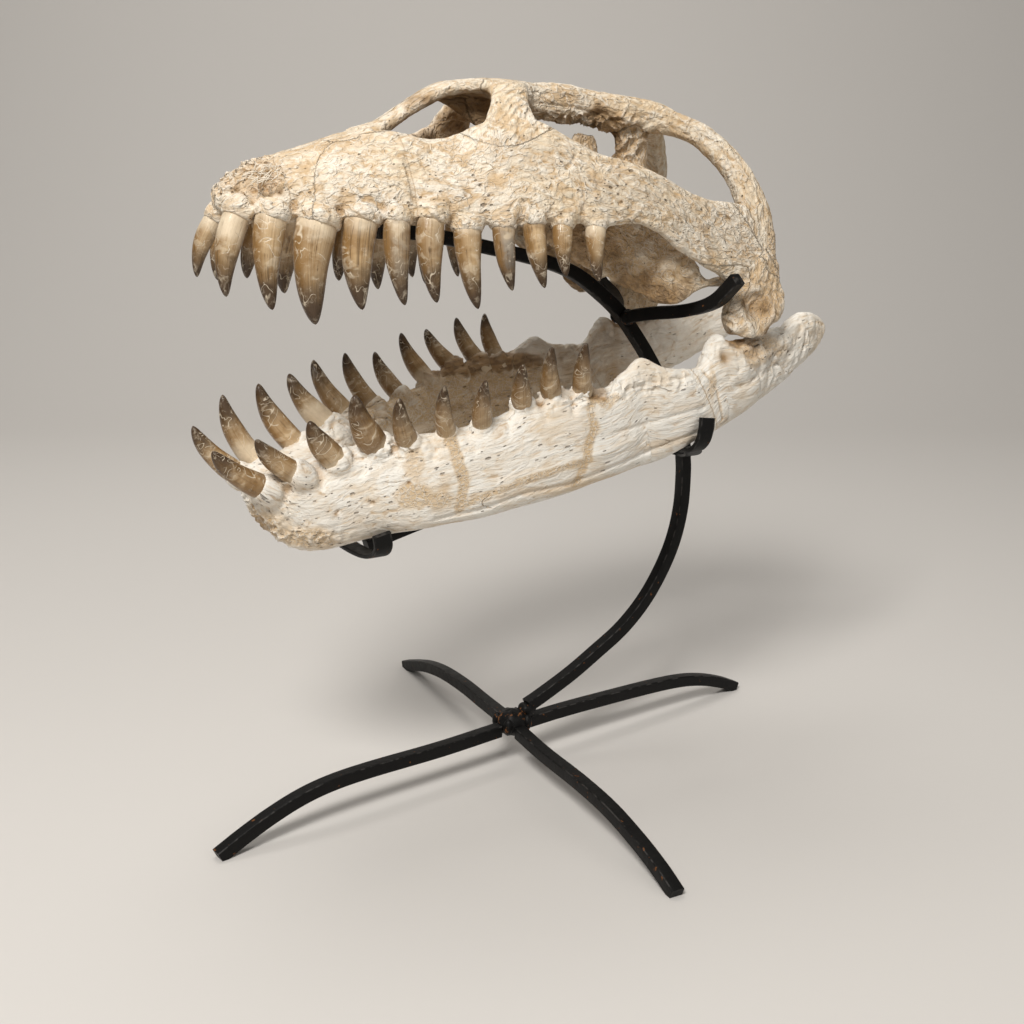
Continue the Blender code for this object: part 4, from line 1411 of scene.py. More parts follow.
# ---- stand
@dataclass(frozen=True)
class Bar:
    """Square or flat bar bent along a path; side is the direction of its width."""

    name: str
    path: tuple
    side: Point
    width: float = 0.0095
    height: float = 0.0095
    sides: int = 32
    spacing: float = 0.0025
    squareness: float = 0.22
    hatched: tuple[float, float] | None = None
    hatch_pitch: float = 0.0062
    hatch_slant: float = 0.0035
    hatch_depth: float = 0.00035

    def build(self) -> Piece:
        """Makes the bar with its field of worn edges."""
        row = np.array(self.path, float)
        length = np.linalg.norm(np.diff(row, axis=0), axis=1).sum()
        rings = max(int(length / self.spacing), 8)
        seen: dict[str, Array] = {}

        def place(angle: Array, share: Array) -> Array:
            at = share * (len(row) - 1)
            centre = Strut.eased(row, at)
            tangent = unit(Strut.eased(np.gradient(row, axis=0), at))
            broad = np.tile(np.array(self.side, float), (len(at), 1))
            broad = unit(upright_to(broad, tangent))
            thin = np.cross(broad, tangent)
            along, across = squarish(angle + math.pi / 4, self.squareness)
            seen["edge"] = np.clip((np.abs(along * across) - 0.7) / 0.14, 0, 1)
            middle = centre + broad * (along * self.width / 2)[:, None]
            middle += thin * (across * self.height / 2)[:, None]
            if self.hatched:
                middle -= thin * self.hatch(share * length, along, across)[:, None]
            return middle

        bar = Bench.tube(self.name, self.sides, rings, place)
        Bench.store(bar, "edge", seen["edge"])
        Bench.store(bar, "weld", np.zeros(len(seen["edge"])))
        return bar

    def hatch(self, distance: Array, along: Array, across: Array) -> Array:
        """Slanting tool marks pressed into the top face.

        Args:
            distance: distance along the bar, in metres.
            along: place across the bar, from -1 to 1.
            across: place through its thickness, from -1 to 1.

        Returns:
            How far each point is pressed in, in metres.
        """
        start, end = self.hatched
        wave = np.cos((distance + along * self.hatch_slant) / self.hatch_pitch * 2 * math.pi)
        marked = (distance > start) & (distance < end) & (np.abs(across) > 0.9)
        return self.hatch_depth * np.clip(wave - 0.55, 0, 1) / 0.45 * marked * np.sign(across)


@dataclass
class Stand:
    """Forged stand: four legs, a curved post, two arms, two strap cradles and a fork."""

    finish: SteelFinish = SteelFinish()
    strap: tuple[float, float] = (0.0127, 0.0032)
    hatched: tuple[float, float] = (0.022, 0.19)
    hatched_spacing: float = 0.0009
    legs: tuple = (
        ("front", -173.7, ((0.013, 0.029), (0.067, 0.0285), (0.128, 0.03), (0.16, 0.0292),
                           (0.184, 0.0256), (0.207, 0.0188), (0.228, 0.0105), (0.2465, 0.002))),
        ("back", 5.3, ((0.013, 0.0295), (0.047, 0.0296), (0.089, 0.0284), (0.143, 0.0262),
                       (0.178, 0.0232), (0.203, 0.018), (0.226, 0.01), (0.243, 0.002))),
        ("left", -93.0, ((0.013, 0.0285), (0.052, 0.0265), (0.103, 0.0265), (0.143, 0.024),
                         (0.178, 0.0172), (0.204, 0.0095), (0.222, 0.002))),
        ("right", 85.3, ((0.013, 0.0305), (0.049, 0.0296), (0.088, 0.029), (0.13, 0.0255),
                         (0.164, 0.019), (0.192, 0.0105), (0.219, 0.001))),
    )
    post: tuple = ((0.0138, 0, 0.0432), (0.026, 0, 0.0482), (0.053, 0, 0.0608), (0.077, 0, 0.0744),
                   (0.102, 0, 0.0898), (0.123, 0, 0.1091), (0.1395, 0, 0.132),
                   (0.1515, 0, 0.1567), (0.158, 0, 0.1833), (0.1594, 0, 0.2103),
                   (0.1585, 0, 0.225))
    upper_arm: tuple = ((-0.103, 0, 0.4055), (-0.077, 0, 0.404), (-0.051, 0, 0.3995),
                        (-0.022, 0, 0.393), (0.007, 0, 0.3865), (0.033, 0, 0.3795),
                        (0.054, 0, 0.371), (0.0745, 0, 0.357), (0.0925, 0, 0.342),
                        (0.1085, 0, 0.323), (0.122, 0, 0.3045), (0.14, 0, 0.276),
                        (0.154, 0, 0.248), (0.1585, 0, 0.2312))
    fork: tuple = ((0.0975, -0.007, 0.3385), (0.0995, -0.012, 0.34), (0.1085, -0.023, 0.3422),
                   (0.119, -0.04, 0.3445), (0.1262, -0.057, 0.349), (0.1275, -0.072, 0.3552),
                   (0.1275, -0.0838, 0.364), (0.1285, -0.091, 0.371))
    rear_cradle: tuple = ((0.1575, 0, 0.227), (0.151, -0.018, 0.23), (0.135, -0.042, 0.2385),
                          (0.115, -0.062, 0.2468), (0.1085, -0.072, 0.2488),
                          (0.1065, -0.0805, 0.251), (0.107, -0.0862, 0.2575),
                          (0.109, -0.087, 0.266), (0.11, -0.0865, 0.274))
    front_arm: tuple = ((-0.1186, 0, 0.1925), (-0.098, 0, 0.1985), (-0.06, 0, 0.2065),
                        (0.0, 0, 0.215), (0.06, 0, 0.223), (0.11, 0, 0.229),
                        (0.1515, 0, 0.2345))
    front_cradle: tuple = ((-0.1285, 0, 0.1925), (-0.128, -0.024, 0.1935),
                           (-0.1275, -0.04, 0.1975), (-0.1285, -0.0495, 0.205),
                           (-0.131, -0.053, 0.215))
    beads: tuple = (
        ("stand_hub", (0, 0, 0.0325), (0.0122, 0.0122, 0.0105), 3),
        ("stand_hub", (0.0085, 0.0085, 0.033), (0.0038, 0.0038, 0.0062), 5),
        ("stand_hub", (-0.0085, 0.0085, 0.033), (0.0038, 0.0038, 0.0062), 6),
        ("stand_hub", (-0.0085, -0.0085, 0.033), (0.0038, 0.0038, 0.0062), 7),
        ("stand_hub", (0.0085, -0.0085, 0.033), (0.0038, 0.0038, 0.0062), 8),
        ("stand_post", (0.0135, 0, 0.0405), (0.0072, 0.0068, 0.0052), 11),
        ("stand_fork_left", (0.0965, -0.0068, 0.3385), (0.0062, 0.0032, 0.006), 13),
        ("stand_fork_right", (0.0965, 0.0068, 0.3385), (0.0062, 0.0032, 0.006), 14),
    )

    @staticmethod
    def mirrored(points: Sequence[Point]) -> tuple[Point, ...]:
        """The points with their y turned to the other side."""
        return tuple((x, -y, z) for x, y, z in points)

    def bars(self) -> list[Bar]:
        """Every bar of the stand."""
        found = []
        for name, degrees, profile in self.legs:
            turn = math.radians(degrees)
            path = tuple((out * math.cos(turn), out * math.sin(turn), high)
                         for out, high in profile)
            bar = Bar(f"stand_leg_{name}", path, (-math.sin(turn), math.cos(turn), 0))
            if name == "left":
                bar = replace(bar, spacing=self.hatched_spacing, hatched=self.hatched)
            found.append(bar)
        found += [Bar("stand_post", self.post, ASIDE),
                  Bar("stand_upper_arm", self.upper_arm, ASIDE),
                  Bar("stand_front_arm", self.front_arm, ASIDE),
                  Bar("stand_fork_left", self.fork, UP),
                  Bar("stand_fork_right", self.mirrored(self.fork), UP)]
        for name, half in (("rear", self.rear_cradle), ("front", self.front_cradle)):
            path = self.mirrored(half[:0:-1]) + half
            found.append(Bar(f"stand_{name}_cradle", path, AHEAD, *self.strap))
        return found

    @staticmethod
    def trim(leg: Piece) -> None:
        """Cuts the tip of a leg level with the floor."""
        Bench.pick(leg)
        with editing():
            bpy.ops.mesh.select_all(action="SELECT")
            bpy.ops.mesh.bisect(plane_co=(0, 0, FLOOR_GAP), plane_no=(0, 0, -1), use_fill=True,
                                clear_outer=True)

    @staticmethod
    def lump(centre: Point, radii: Point, seed: int) -> Piece:
        """One bead of weld metal.

        Args:
            centre: its middle.
            radii: its half sizes.
            seed: number that makes it differ from the others.

        Returns:
            The bead.
        """
        bpy.ops.object.select_all(action="DESELECT")
        bpy.ops.mesh.primitive_uv_sphere_add(segments=28, ring_count=18, radius=1)
        bead = bpy.context.object
        points = Bench.points(bead) * radii
        points *= 1 + 0.1 * Lattice(0.004, seed).at(points)[:, None]
        points *= 1 + 0.05 * Lattice(0.0017, seed + 1).at(points)[:, None]
        Bench.put(bead, points + centre)
        Bench.store(bead, "edge", np.zeros(len(points)))
        Bench.store(bead, "weld", np.ones(len(points)))
        return bead

    def build(self) -> None:
        """Makes, joins and dresses the stand."""
        steel = self.finish.material()
        groups = {bar.name: [bar.build()] for bar in self.bars()}
        for name, pieces in groups.items():
            if name.startswith("stand_leg"):
                self.trim(pieces[0])
        for name, centre, radii, seed in self.beads:
            groups.setdefault(name, []).append(self.lump(centre, radii, seed))
        for name, pieces in groups.items():
            Bench.hand_over(Bench.joined(name + "_steel", pieces), steel, "black_steel", [name])


# ---- studio
@dataclass
class Studio:
    """Pale sweep, soft lights and the camera."""

    spot: Point = (-0.47789, -0.79534, 0.44862)
    tilt: float = 75.0
    turn: float = -31.0
    lens: float = 45.7
    floor: FloorFinish = FloorFinish()
    half_width: float = 4.0
    near: float = -3.0
    bend_at: float = 1.3
    bend_radius: float = 1.2
    bend_steps: int = 16
    wall: float = 3.0
    light: Colour = (1.0, 0.98, 0.95)
    world: float = 0.16
    lamps: tuple = (
        ("key", (-1.2, -1.05, 1.85), (0, 0, 0.25), 0.65, 51.0),
        ("fill", (1.1, -2.4, 1.5), (0, 0, 0.3), 1.4, 8.0),
        ("top", (-0.1, 0.6, 2.1), (0, 0, 0.2), 1.2, 11.0),
        ("wall wash", (0.2, 1.0, 2.6), (0.9, 2.6, 1.0), 1.4, 17.0),
    )

    def sweep(self) -> None:
        """Floor that curves up into a wall behind the object, square to the camera."""
        turn = math.radians(self.turn)
        bpy.ops.object.select_all(action="DESELECT")
        bpy.ops.mesh.primitive_plane_add(size=1, location=(0, 0, 0))
        sheet = bpy.context.object
        sheet.name = "studio_sweep"
        Bench.put(sheet, np.array([(x, y, 0) for y in (self.near, self.bend_at)
                                   for x in (-self.half_width, self.half_width)]))
        with editing():
            bpy.ops.mesh.select_mode(type="EDGE")
            bpy.ops.mesh.select_all(action="DESELECT")
        points = Bench.points(sheet)
        for edge in sheet.data.edges:
            edge.select = all(points[index][1] > 0 for index in edge.vertices)
        moves = []
        for step in range(self.bend_steps):
            first, second = (math.pi / 2 * (step + part) / self.bend_steps for part in (0, 1))
            moves.append((0, self.bend_radius * (math.sin(second) - math.sin(first)),
                          self.bend_radius * (math.cos(first) - math.cos(second))))
        with editing():
            for move in (*moves, (0, 0, self.wall)):
                bpy.ops.mesh.extrude_region_move(TRANSFORM_OT_translate={"value": move})
        points = Bench.points(sheet)
        spun = points.copy()
        spun[:, 0] = points[:, 0] * math.cos(turn) - points[:, 1] * math.sin(turn)
        spun[:, 1] = points[:, 0] * math.sin(turn) + points[:, 1] * math.cos(turn)
        Bench.put(sheet, spun)
        sheet.data.materials.append(self.floor.material())
        bpy.ops.object.shade_smooth()

    def lamp(self, name: str, place: Point, target: Point, size: float, watts: float) -> None:
        """Adds one soft square light.

        Args:
            name: its name.
            place: where it stands.
            target: the point that it shines at.
            size: its side.
            watts: its power.
        """
        bpy.ops.object.light_add(type="AREA", location=place)
        light = bpy.context.object
        light.name = name
        light.data.shape, light.data.size = "SQUARE", size
        light.data.energy, light.data.color = watts, self.light
        aim = Vector(target) - Vector(place)
        light.rotation_euler = aim.to_track_quat("-Z", "Y").to_euler()

    def build(self) -> None:
        """Makes the sweep, the lights, the world and the camera."""
        self.sweep()
        for row in self.lamps:
            self.lamp(*row)
        world = bpy.data.worlds.new("studio")
        world.use_nodes = True
        background = world.node_tree.nodes["Background"]
        background.inputs["Color"].default_value = (*self.light, 1)
        background.inputs["Strength"].default_value = self.world
        bpy.context.scene.world = world
        bpy.context.scene.view_settings.view_transform = "Standard"
        bpy.ops.object.camera_add(location=self.spot)
        camera = bpy.context.object
        camera.rotation_euler = (math.radians(self.tilt), 0, math.radians(self.turn))
        camera.data.lens = self.lens
        bpy.context.scene.camera = camera


# ---- cranium
SNOUT = Strut("snout", paired=False, stations=(
    (-0.213, 0, 0.4235, -0.213, 0, 0.432, 0.01), (-0.2085, 0, 0.419, -0.208, 0, 0.4375, 0.027, 0.1),
    (-0.2, 0, 0.4165, -0.199, 0, 0.4435, 0.047, 0.2), (-0.188, 0, 0.4145, -0.187, 0, 0.45, 0.063, 0.25),
    (-0.174, 0, 0.413, -0.173, 0, 0.455, 0.073, 0.28), (-0.156, 0, 0.412, -0.155, 0, 0.46, 0.082, 0.3),
    (-0.138, 0, 0.412, -0.137, 0, 0.4655, 0.09, 0.31), (-0.12, 0, 0.4115, -0.12, 0, 0.47, 0.099, 0.32),
    (-0.106, 0, 0.4115, -0.106, 0, 0.471, 0.105, 0.34),
))
MAXILLA = Strut("maxilla", stations=(
    (-0.125, -0.048, 0.418, -0.125, -0.02, 0.466, 0.018),
    (-0.108, -0.053, 0.416, -0.108, -0.023, 0.469, 0.017),
    (-0.095, -0.057, 0.416, -0.095, -0.026, 0.467, 0.017, 0.1),
    (-0.08, -0.061, 0.415, -0.08, -0.028, 0.4645, 0.017, 0.1),
    (-0.065, -0.064, 0.412, -0.065, -0.03, 0.466, 0.017, 0.1),
    (-0.05, -0.068, 0.411, -0.05, -0.033, 0.472, 0.017, 0.1),
    (-0.03, -0.072, 0.413, -0.03, -0.04, 0.479, 0.017, 0.1),
    (-0.01, -0.076, 0.4125, -0.01, -0.047, 0.476, 0.017, 0.1),
    (0.01, -0.079, 0.4105, 0.01, -0.054, 0.465, 0.016, 0.1),
    (0.028, -0.08, 0.4085, 0.028, -0.06, 0.456, 0.015, 0.1),
    (0.05, -0.08, 0.4095, 0.05, -0.064, 0.4505, 0.014),
    (0.07, -0.079, 0.402, 0.07, -0.066, 0.444, 0.013),
    (0.085, -0.078, 0.392, 0.085, -0.067, 0.437, 0.013),
    (0.103, -0.077, 0.383, 0.103, -0.067, 0.43, 0.013),
    (0.12, -0.076, 0.374, 0.12, -0.067, 0.425, 0.014),
    (0.138, -0.074, 0.364, 0.138, -0.066, 0.4235, 0.015),
    (0.156, -0.072, 0.358, 0.156, -0.063, 0.42, 0.017),
    (0.174, -0.07, 0.36, 0.174, -0.061, 0.412, 0.017),
))
SQUAMOSAL = Strut("squamosal", stations=(
    (0.09, 0.0, 0.47, 0.088, 0.0, 0.4965, 0.026), (0.115, -0.008, 0.469, 0.112, -0.008, 0.4935, 0.024),
    (0.133, -0.022, 0.464, 0.131, -0.02, 0.484, 0.021),
    (0.144, -0.036, 0.451, 0.149, -0.033, 0.473, 0.019),
    (0.151, -0.047, 0.437, 0.163, -0.045, 0.4565, 0.018),
    (0.1535, -0.056, 0.423, 0.1715, -0.053, 0.44, 0.018),
    (0.152, -0.062, 0.407, 0.178, -0.059, 0.422, 0.018),
    (0.149, -0.066, 0.39, 0.1825, -0.064, 0.402, 0.018),
    (0.146, -0.069, 0.372, 0.182, -0.068, 0.382, 0.02),
))
QUADRATE = Strut("quadrate", stations=(
    (0.144, -0.069, 0.376, 0.182, -0.068, 0.382, 0.02),
    (0.138, -0.07, 0.36, 0.184, -0.069, 0.365, 0.024),
    (0.137, -0.07, 0.346, 0.1875, -0.07, 0.351, 0.027),
    (0.14, -0.07, 0.336, 0.179, -0.07, 0.339, 0.029), (0.146, -0.07, 0.328, 0.167, -0.07, 0.329, 0.026),
))
POSTORBITAL = Strut("postorbital", stations=(
    (-0.054, -0.038, 0.464, -0.006, -0.05, 0.464, 0.013),
    (-0.044, -0.036, 0.474, -0.008, -0.045, 0.476, 0.012),
    (-0.037, -0.032, 0.484, -0.008, -0.036, 0.486, 0.012),
    (-0.03, -0.022, 0.4945, -0.002, -0.023, 0.495, 0.012),
    (-0.032, -0.006, 0.496, 0.004, -0.006, 0.4965, 0.012),
))
FRONTAL = Strut("frontal", paired=False, stations=(
    (-0.118, 0, 0.456, -0.118, 0, 0.472, 0.048, 0.1), (-0.104, 0, 0.463, -0.104, 0, 0.4755, 0.03),
    (-0.093, 0, 0.469, -0.095, 0, 0.48, 0.021), (-0.08, 0, 0.4775, -0.082, 0, 0.488, 0.018),
    (-0.064, 0, 0.486, -0.067, 0, 0.4965, 0.02), (-0.049, 0, 0.491, -0.05, 0, 0.5025, 0.028),
    (-0.03, 0, 0.4915, -0.03, 0, 0.504, 0.042), (-0.01, 0, 0.489, -0.01, 0, 0.5035, 0.044),
    (0.008, 0, 0.481, 0.008, 0, 0.503, 0.03),
))
PARIETAL = Strut("parietal", paired=False, stations=(
    (0.002, 0, 0.482, 0.002, 0, 0.5025, 0.03), (0.016, 0, 0.479, 0.016, 0, 0.5025, 0.025),
    (0.04, 0, 0.477, 0.04, 0, 0.503, 0.025), (0.062, 0, 0.475, 0.062, 0, 0.5, 0.026),
    (0.082, 0, 0.4715, 0.082, 0, 0.497, 0.03), (0.1, 0, 0.469, 0.1, 0, 0.495, 0.032),
))
PALATE = Strut("palate", paired=False, stations=(
    (-0.12, 0, 0.412, -0.12, 0, 0.426, 0.096), (-0.08, 0, 0.412, -0.08, 0, 0.424, 0.116),
    (-0.04, 0, 0.412, -0.04, 0, 0.424, 0.128), (-0.005, 0, 0.412, -0.005, 0, 0.424, 0.122),
    (0.02, 0, 0.412, 0.02, 0, 0.424, 0.086), (0.05, 0, 0.412, 0.05, 0, 0.424, 0.062),
    (0.09, 0, 0.412, 0.09, 0, 0.424, 0.056), (0.12, 0, 0.413, 0.12, 0, 0.423, 0.044),
))
PTERYGOID = Strut("pterygoid", stations=(
    (0.012, -0.022, 0.396, 0.012, -0.024, 0.422, 0.013),
    (0.038, -0.025, 0.38, 0.038, -0.027, 0.422, 0.014),
    (0.062, -0.032, 0.369, 0.062, -0.034, 0.42, 0.014),
    (0.08, -0.042, 0.357, 0.08, -0.044, 0.412, 0.014),
    (0.095, -0.051, 0.352, 0.095, -0.053, 0.402, 0.013),
    (0.106, -0.057, 0.3525, 0.108, -0.059, 0.388, 0.012),
    (0.113, -0.06, 0.358, 0.117, -0.061, 0.378, 0.011),
    (0.124, -0.063, 0.3625, 0.124, -0.063, 0.37, 0.01),
    (0.142, -0.067, 0.363, 0.142, -0.067, 0.373, 0.013),
))
BRAINCASE = Strut("braincase", paired=False, stations=(
    (0.06, 0, 0.418, 0.06, 0, 0.438, 0.026, 0.1), (0.078, 0, 0.418, 0.078, 0, 0.446, 0.036, 0.2),
    (0.1, 0, 0.418, 0.1, 0, 0.448, 0.038, 0.2), (0.114, 0, 0.418, 0.114, 0, 0.44, 0.024),
    (0.126, 0, 0.419, 0.126, 0, 0.436, 0.018),
))
SUPRAOCCIPITAL = Strut("supraoccipital", paired=False, stations=(
    (0.082, 0, 0.44, 0.114, 0, 0.44, 0.02), (0.087, 0, 0.456, 0.115, 0, 0.456, 0.015),
    (0.084, 0, 0.474, 0.114, 0, 0.474, 0.02),
))
EPIPTERYGOID = Strut("epipterygoid", paired=False, stations=(
    (0.054, 0, 0.43, 0.072, 0, 0.43, 0.009), (0.049, 0, 0.454, 0.072, 0, 0.453, 0.008),
    (0.048, 0, 0.465, 0.071, 0, 0.463, 0.008), (0.051, 0, 0.47, 0.069, 0, 0.469, 0.006),
))
PAROCCIPITAL = Strut("paroccipital", stations=(
    (0.102, -0.01, 0.425, 0.102, -0.01, 0.44, 0.014), (0.119, -0.029, 0.41, 0.119, -0.029, 0.423, 0.01),
    (0.14, -0.046, 0.39, 0.14, -0.046, 0.404, 0.01), (0.16, -0.06, 0.378, 0.16, -0.06, 0.394, 0.012),
))
ORBIT_WALL = Strut("orbit wall", paired=False, stations=(
    (-0.056, 0.003, 0.489, -0.056, 0.003, 0.496, 0.007),
    (-0.046, 0.003, 0.484, -0.046, 0.003, 0.497, 0.007),
    (-0.034, 0.002, 0.476, -0.034, 0.002, 0.497, 0.006),
    (-0.024, 0.0, 0.472, -0.024, 0.0, 0.496, 0.006), (-0.014, 0.0, 0.477, -0.012, 0.0, 0.495, 0.007),
))
CRANIUM_STRUTS = (SNOUT, FRONTAL, ORBIT_WALL, PARIETAL, PALATE, BRAINCASE, SUPRAOCCIPITAL, EPIPTERYGOID,
                  MAXILLA, SQUAMOSAL, QUADRATE, POSTORBITAL, PTERYGOID, PAROCCIPITAL)
UPPER_LEFT = forms(ToothPlan, rows=(
    (-0.206, 0.024, 0.421, 0.012, 0.004, -0.05, 0.0085, 0.15, 0.35, 0.8),
    (-0.189, 0.035, 0.42, 0.005, 0.006, -0.057, 0.0095, 0.1, 0.35, 0.3),
    (-0.161, 0.038, 0.416, 0.007, 0.007, -0.063, 0.0125, 0.2, 0.45, 0.3),
    (-0.134, 0.043, 0.417, 0.005, 0.008, -0.056, 0.011, 0.1, 0.4, 0.2),
    (-0.113, 0.05, 0.417, 0.0, 0.008, -0.054, 0.0088, 0.65, 0.45, 0.1),
    (-0.092, 0.055, 0.417, 0.001, 0.008, -0.053, 0.009, 0.3, 0.5, 0.1),
    (-0.069, 0.06, 0.411, -0.003, 0.008, -0.052, 0.0088, 0.15, 0.45, 0.1),
    (-0.046, 0.066, 0.412, -0.002, 0.008, -0.042, 0.0074, 0.9, 0.8, 0.0),
    (-0.026, 0.07, 0.414, -0.004, 0.008, -0.043, 0.0076, 0.1, 0.35, 0.0),
    (-0.006, 0.074, 0.412, 0.002, 0.008, -0.034, 0.0068, 0.2, 0.5, 0.0),
    (0.018, 0.077, 0.411, 0.002, 0.008, -0.037, 0.0066, 0.2, 0.4, 0.5),
))
UPPER_RIGHT = forms(ToothPlan, rows=(
    (-0.208, 0.01, 0.418, 0.014, 0.004, -0.038, 0.0064, 0.2, 0.4, 0.6),
    (-0.19, 0.033, 0.419, 0.01, 0.006, -0.044, 0.008, 0.1, 0.3, 0.5),
    (-0.166, 0.037, 0.416, 0.012, 0.009, -0.041, 0.0078, 0.2, 0.5, 0.2),
    (-0.142, 0.042, 0.417, 0.007, 0.012, -0.054, 0.0105, 0.1, 0.4, 0.3),
    (-0.116, 0.049, 0.417, 0.004, 0.01, -0.048, 0.0085, 0.3, 0.5, 0.1),
    (-0.093, 0.055, 0.416, 0.012, 0.007, -0.047, 0.0085, 0.1, 0.45, 0.1),
    (-0.068, 0.06, 0.412, 0.004, 0.008, -0.051, 0.0088, 0.2, 0.5, 0.1),
    (-0.044, 0.066, 0.412, -0.002, 0.006, -0.044, 0.0076, 0.5, 0.5, 0.0),
    (-0.025, 0.07, 0.414, 0.004, 0.006, -0.052, 0.007, 0.2, 0.4, 0.0),
    (-0.005, 0.074, 0.412, -0.006, 0.007, -0.046, 0.0068, 0.2, 0.5, 0.0),
    (0.018, 0.077, 0.411, 0.004, 0.008, -0.034, 0.0066, 0.2, 0.4, 0.2),
))
CRANIUM_CUTS = forms(Cut, rows=(
    ((-0.1775, 0, 0.44), AHEAD, UP, 0.06, 0.06),
    ((-0.14, 0, 0.442), ASIDE, UP, 0.0375, 0.045),
    ((-0.1025, 0, 0.45), AHEAD, UP, 0.09, 0.06),
    ((0.0065, 0, 0.492), AHEAD, UP, 0.024, 0.024),
    ((0.098, 0, 0.462), UP, AHEAD, 0.02, 0.026),
)) + forms(Cut, paired=True, rows=(
    ((-0.027, -0.043, 0.4745), (0, -0.3, 1), AHEAD, 0.026, 0.04),
    ((-0.018, -0.0265, 0.4895), (0, 0.71, 0.7), UP, 0.026, 0.012),
    ((0.0065, -0.075, 0.437), AHEAD, UP, 0.03, 0.05),
    ((0.052, -0.039, 0.4103), UP, AHEAD, 0.027, 0.047),
    ((-0.048, -0.052, 0.418), (0.17, 0.83, -0.55), UP, 0.06, 0.016),
    ((0.134, -0.023, 0.474), (0.7, -0.6, -0.4), UP, 0.0135, 0.017),
    ((0.144, -0.07, 0.3945), AHEAD, UP, 0.0215, 0.0385),
    ((0.1375, -0.07, 0.3612), UP, AHEAD, 0.02, 0.0095),
    ((0.1675, -0.066, 0.389), UP, AHEAD, 0.024, 0.0245),
    ((0.123, -0.0635, 0.366), AHEAD, UP, 0.01, 0.012),
    ((0.148, -0.052, 0.3925), (0.77, -0.5, -0.38), UP, 0.009, 0.011),
))
CRANIUM_PLACES = {
    "premaxillae": (-0.195, 0, 0.43),
    "frontal_roof": (-0.04, 0, 0.49),
    "parietal_crest": (0.06, 0, 0.488),
    "palate_and_braincase": (0.02, 0, 0.415),
}
PAIRED_CRANIUM_PLACES = {
    "snout": (-0.14, -0.03, 0.44),
    "upper_jaw": (-0.05, -0.055, 0.43),
    "postorbital": (-0.02, -0.036, 0.483),
    "cheek": (0.07, -0.073, 0.42),
    "pterygoid": (0.08, -0.045, 0.385),
    "squamosal_arch": (0.155, -0.05, 0.44),
    "quadrate": (0.16, -0.07, 0.355),
}
CRANIUM_GROOVES = forms(Groove, side=Side.BOTH, rows=(
    (((-0.0481, 0.4533), (-0.0408, 0.4459), (-0.0319, 0.4397), (-0.0198, 0.4378), (-0.0075, 0.4415),
      (0.0033, 0.449), (0.011, 0.456)), 0.0011, 0.0011),
    (((-0.0446, 0.4533), (-0.0417, 0.4601), (-0.0312, 0.4645), (-0.0177, 0.4634), (-0.0038, 0.4604),
      (0.0102, 0.4567)), 0.001, 0.0008),
    (((-0.1797, 0.459), (-0.1789, 0.4461), (-0.1857, 0.4357), (-0.1906, 0.4265)), 0.0024, 0.0018),
    (((-0.0002, 0.4534), (0.0265, 0.4503), (0.059, 0.4478), (0.0776, 0.4432)), 0.0016, 0.001),
    (((0.0186, 0.4371), (0.0636, 0.4251), (0.1074, 0.4029), (0.1403, 0.377)), 0.0014, 0.0009),
    (((0.0313, 0.4166), (0.071, 0.4105), (0.1107, 0.392), (0.1325, 0.3719)), 0.0014, 0.0009),
    (((0.0563, 0.4394), (0.0991, 0.4272), (0.1356, 0.409), (0.1571, 0.3889)), 0.0013, 0.0009),
    (((0.118, 0.48), (0.141, 0.464), (0.162, 0.44), (0.172, 0.415)), 0.0011, 0.0008),
    (((0.13, 0.47), (0.148, 0.456), (0.162, 0.43), (0.166, 0.405)), 0.0011, 0.0008),
    (((0.0082, 0.4955), (0.0365, 0.4936), (0.0659, 0.489)), 0.0011, 0.0008),
    (((0.0098, 0.4884), (0.0366, 0.4864), (0.0626, 0.4822)), 0.0011, 0.0008),
    (((0.138, 0.356), (0.144, 0.343), (0.15, 0.332)), 0.003, -0.0018),
    (((0.18, 0.378), (0.183, 0.36), (0.178, 0.34)), 0.0035, -0.0014),
))
CRANIUM_PITS = forms(Pit, rows=(
    ((-0.1941, -0.034, 0.444), 0.0066, 0.0075), ((-0.2019, -0.026, 0.4393), 0.0038, 0.005),
    ((-0.1857, -0.033, 0.45), 0.0042, 0.0055), ((-0.189, -0.037, 0.436), 0.0034, 0.0045),
    ((-0.208, -0.018, 0.434), 0.003, 0.004), ((-0.194, -0.012, 0.449), 0.0032, 0.004, False),
    ((-0.184, -0.022, 0.4545), 0.003, 0.004), ((0.156, -0.086, 0.349), 0.0082, 0.009),
    ((0.148, -0.086, 0.356), 0.0042, 0.004), ((0.137, -0.08, 0.334), 0.005, -0.0032),
    ((0.169, -0.082, 0.348), 0.007, -0.003), ((0.076, -0.012, 0.476), 0.0055, 0.004),
    ((0.064, -0.012, 0.48), 0.005, 0.005), ((0.079, -0.05, 0.388), 0.0095, -0.004),
    ((0.095, -0.056, 0.38), 0.0095, -0.0045), ((0.109, -0.06, 0.373), 0.0075, -0.003),
    ((0.06, -0.036, 0.388), 0.009, 0.0035), ((0.08, -0.046, 0.368), 0.01, 0.0035),
    ((-0.07, -0.062, 0.43), 0.0016, 0.0022), ((-0.146, -0.044, 0.433), 0.0014, 0.002),
    ((0.035, -0.081, 0.424), 0.0016, 0.0022),
))
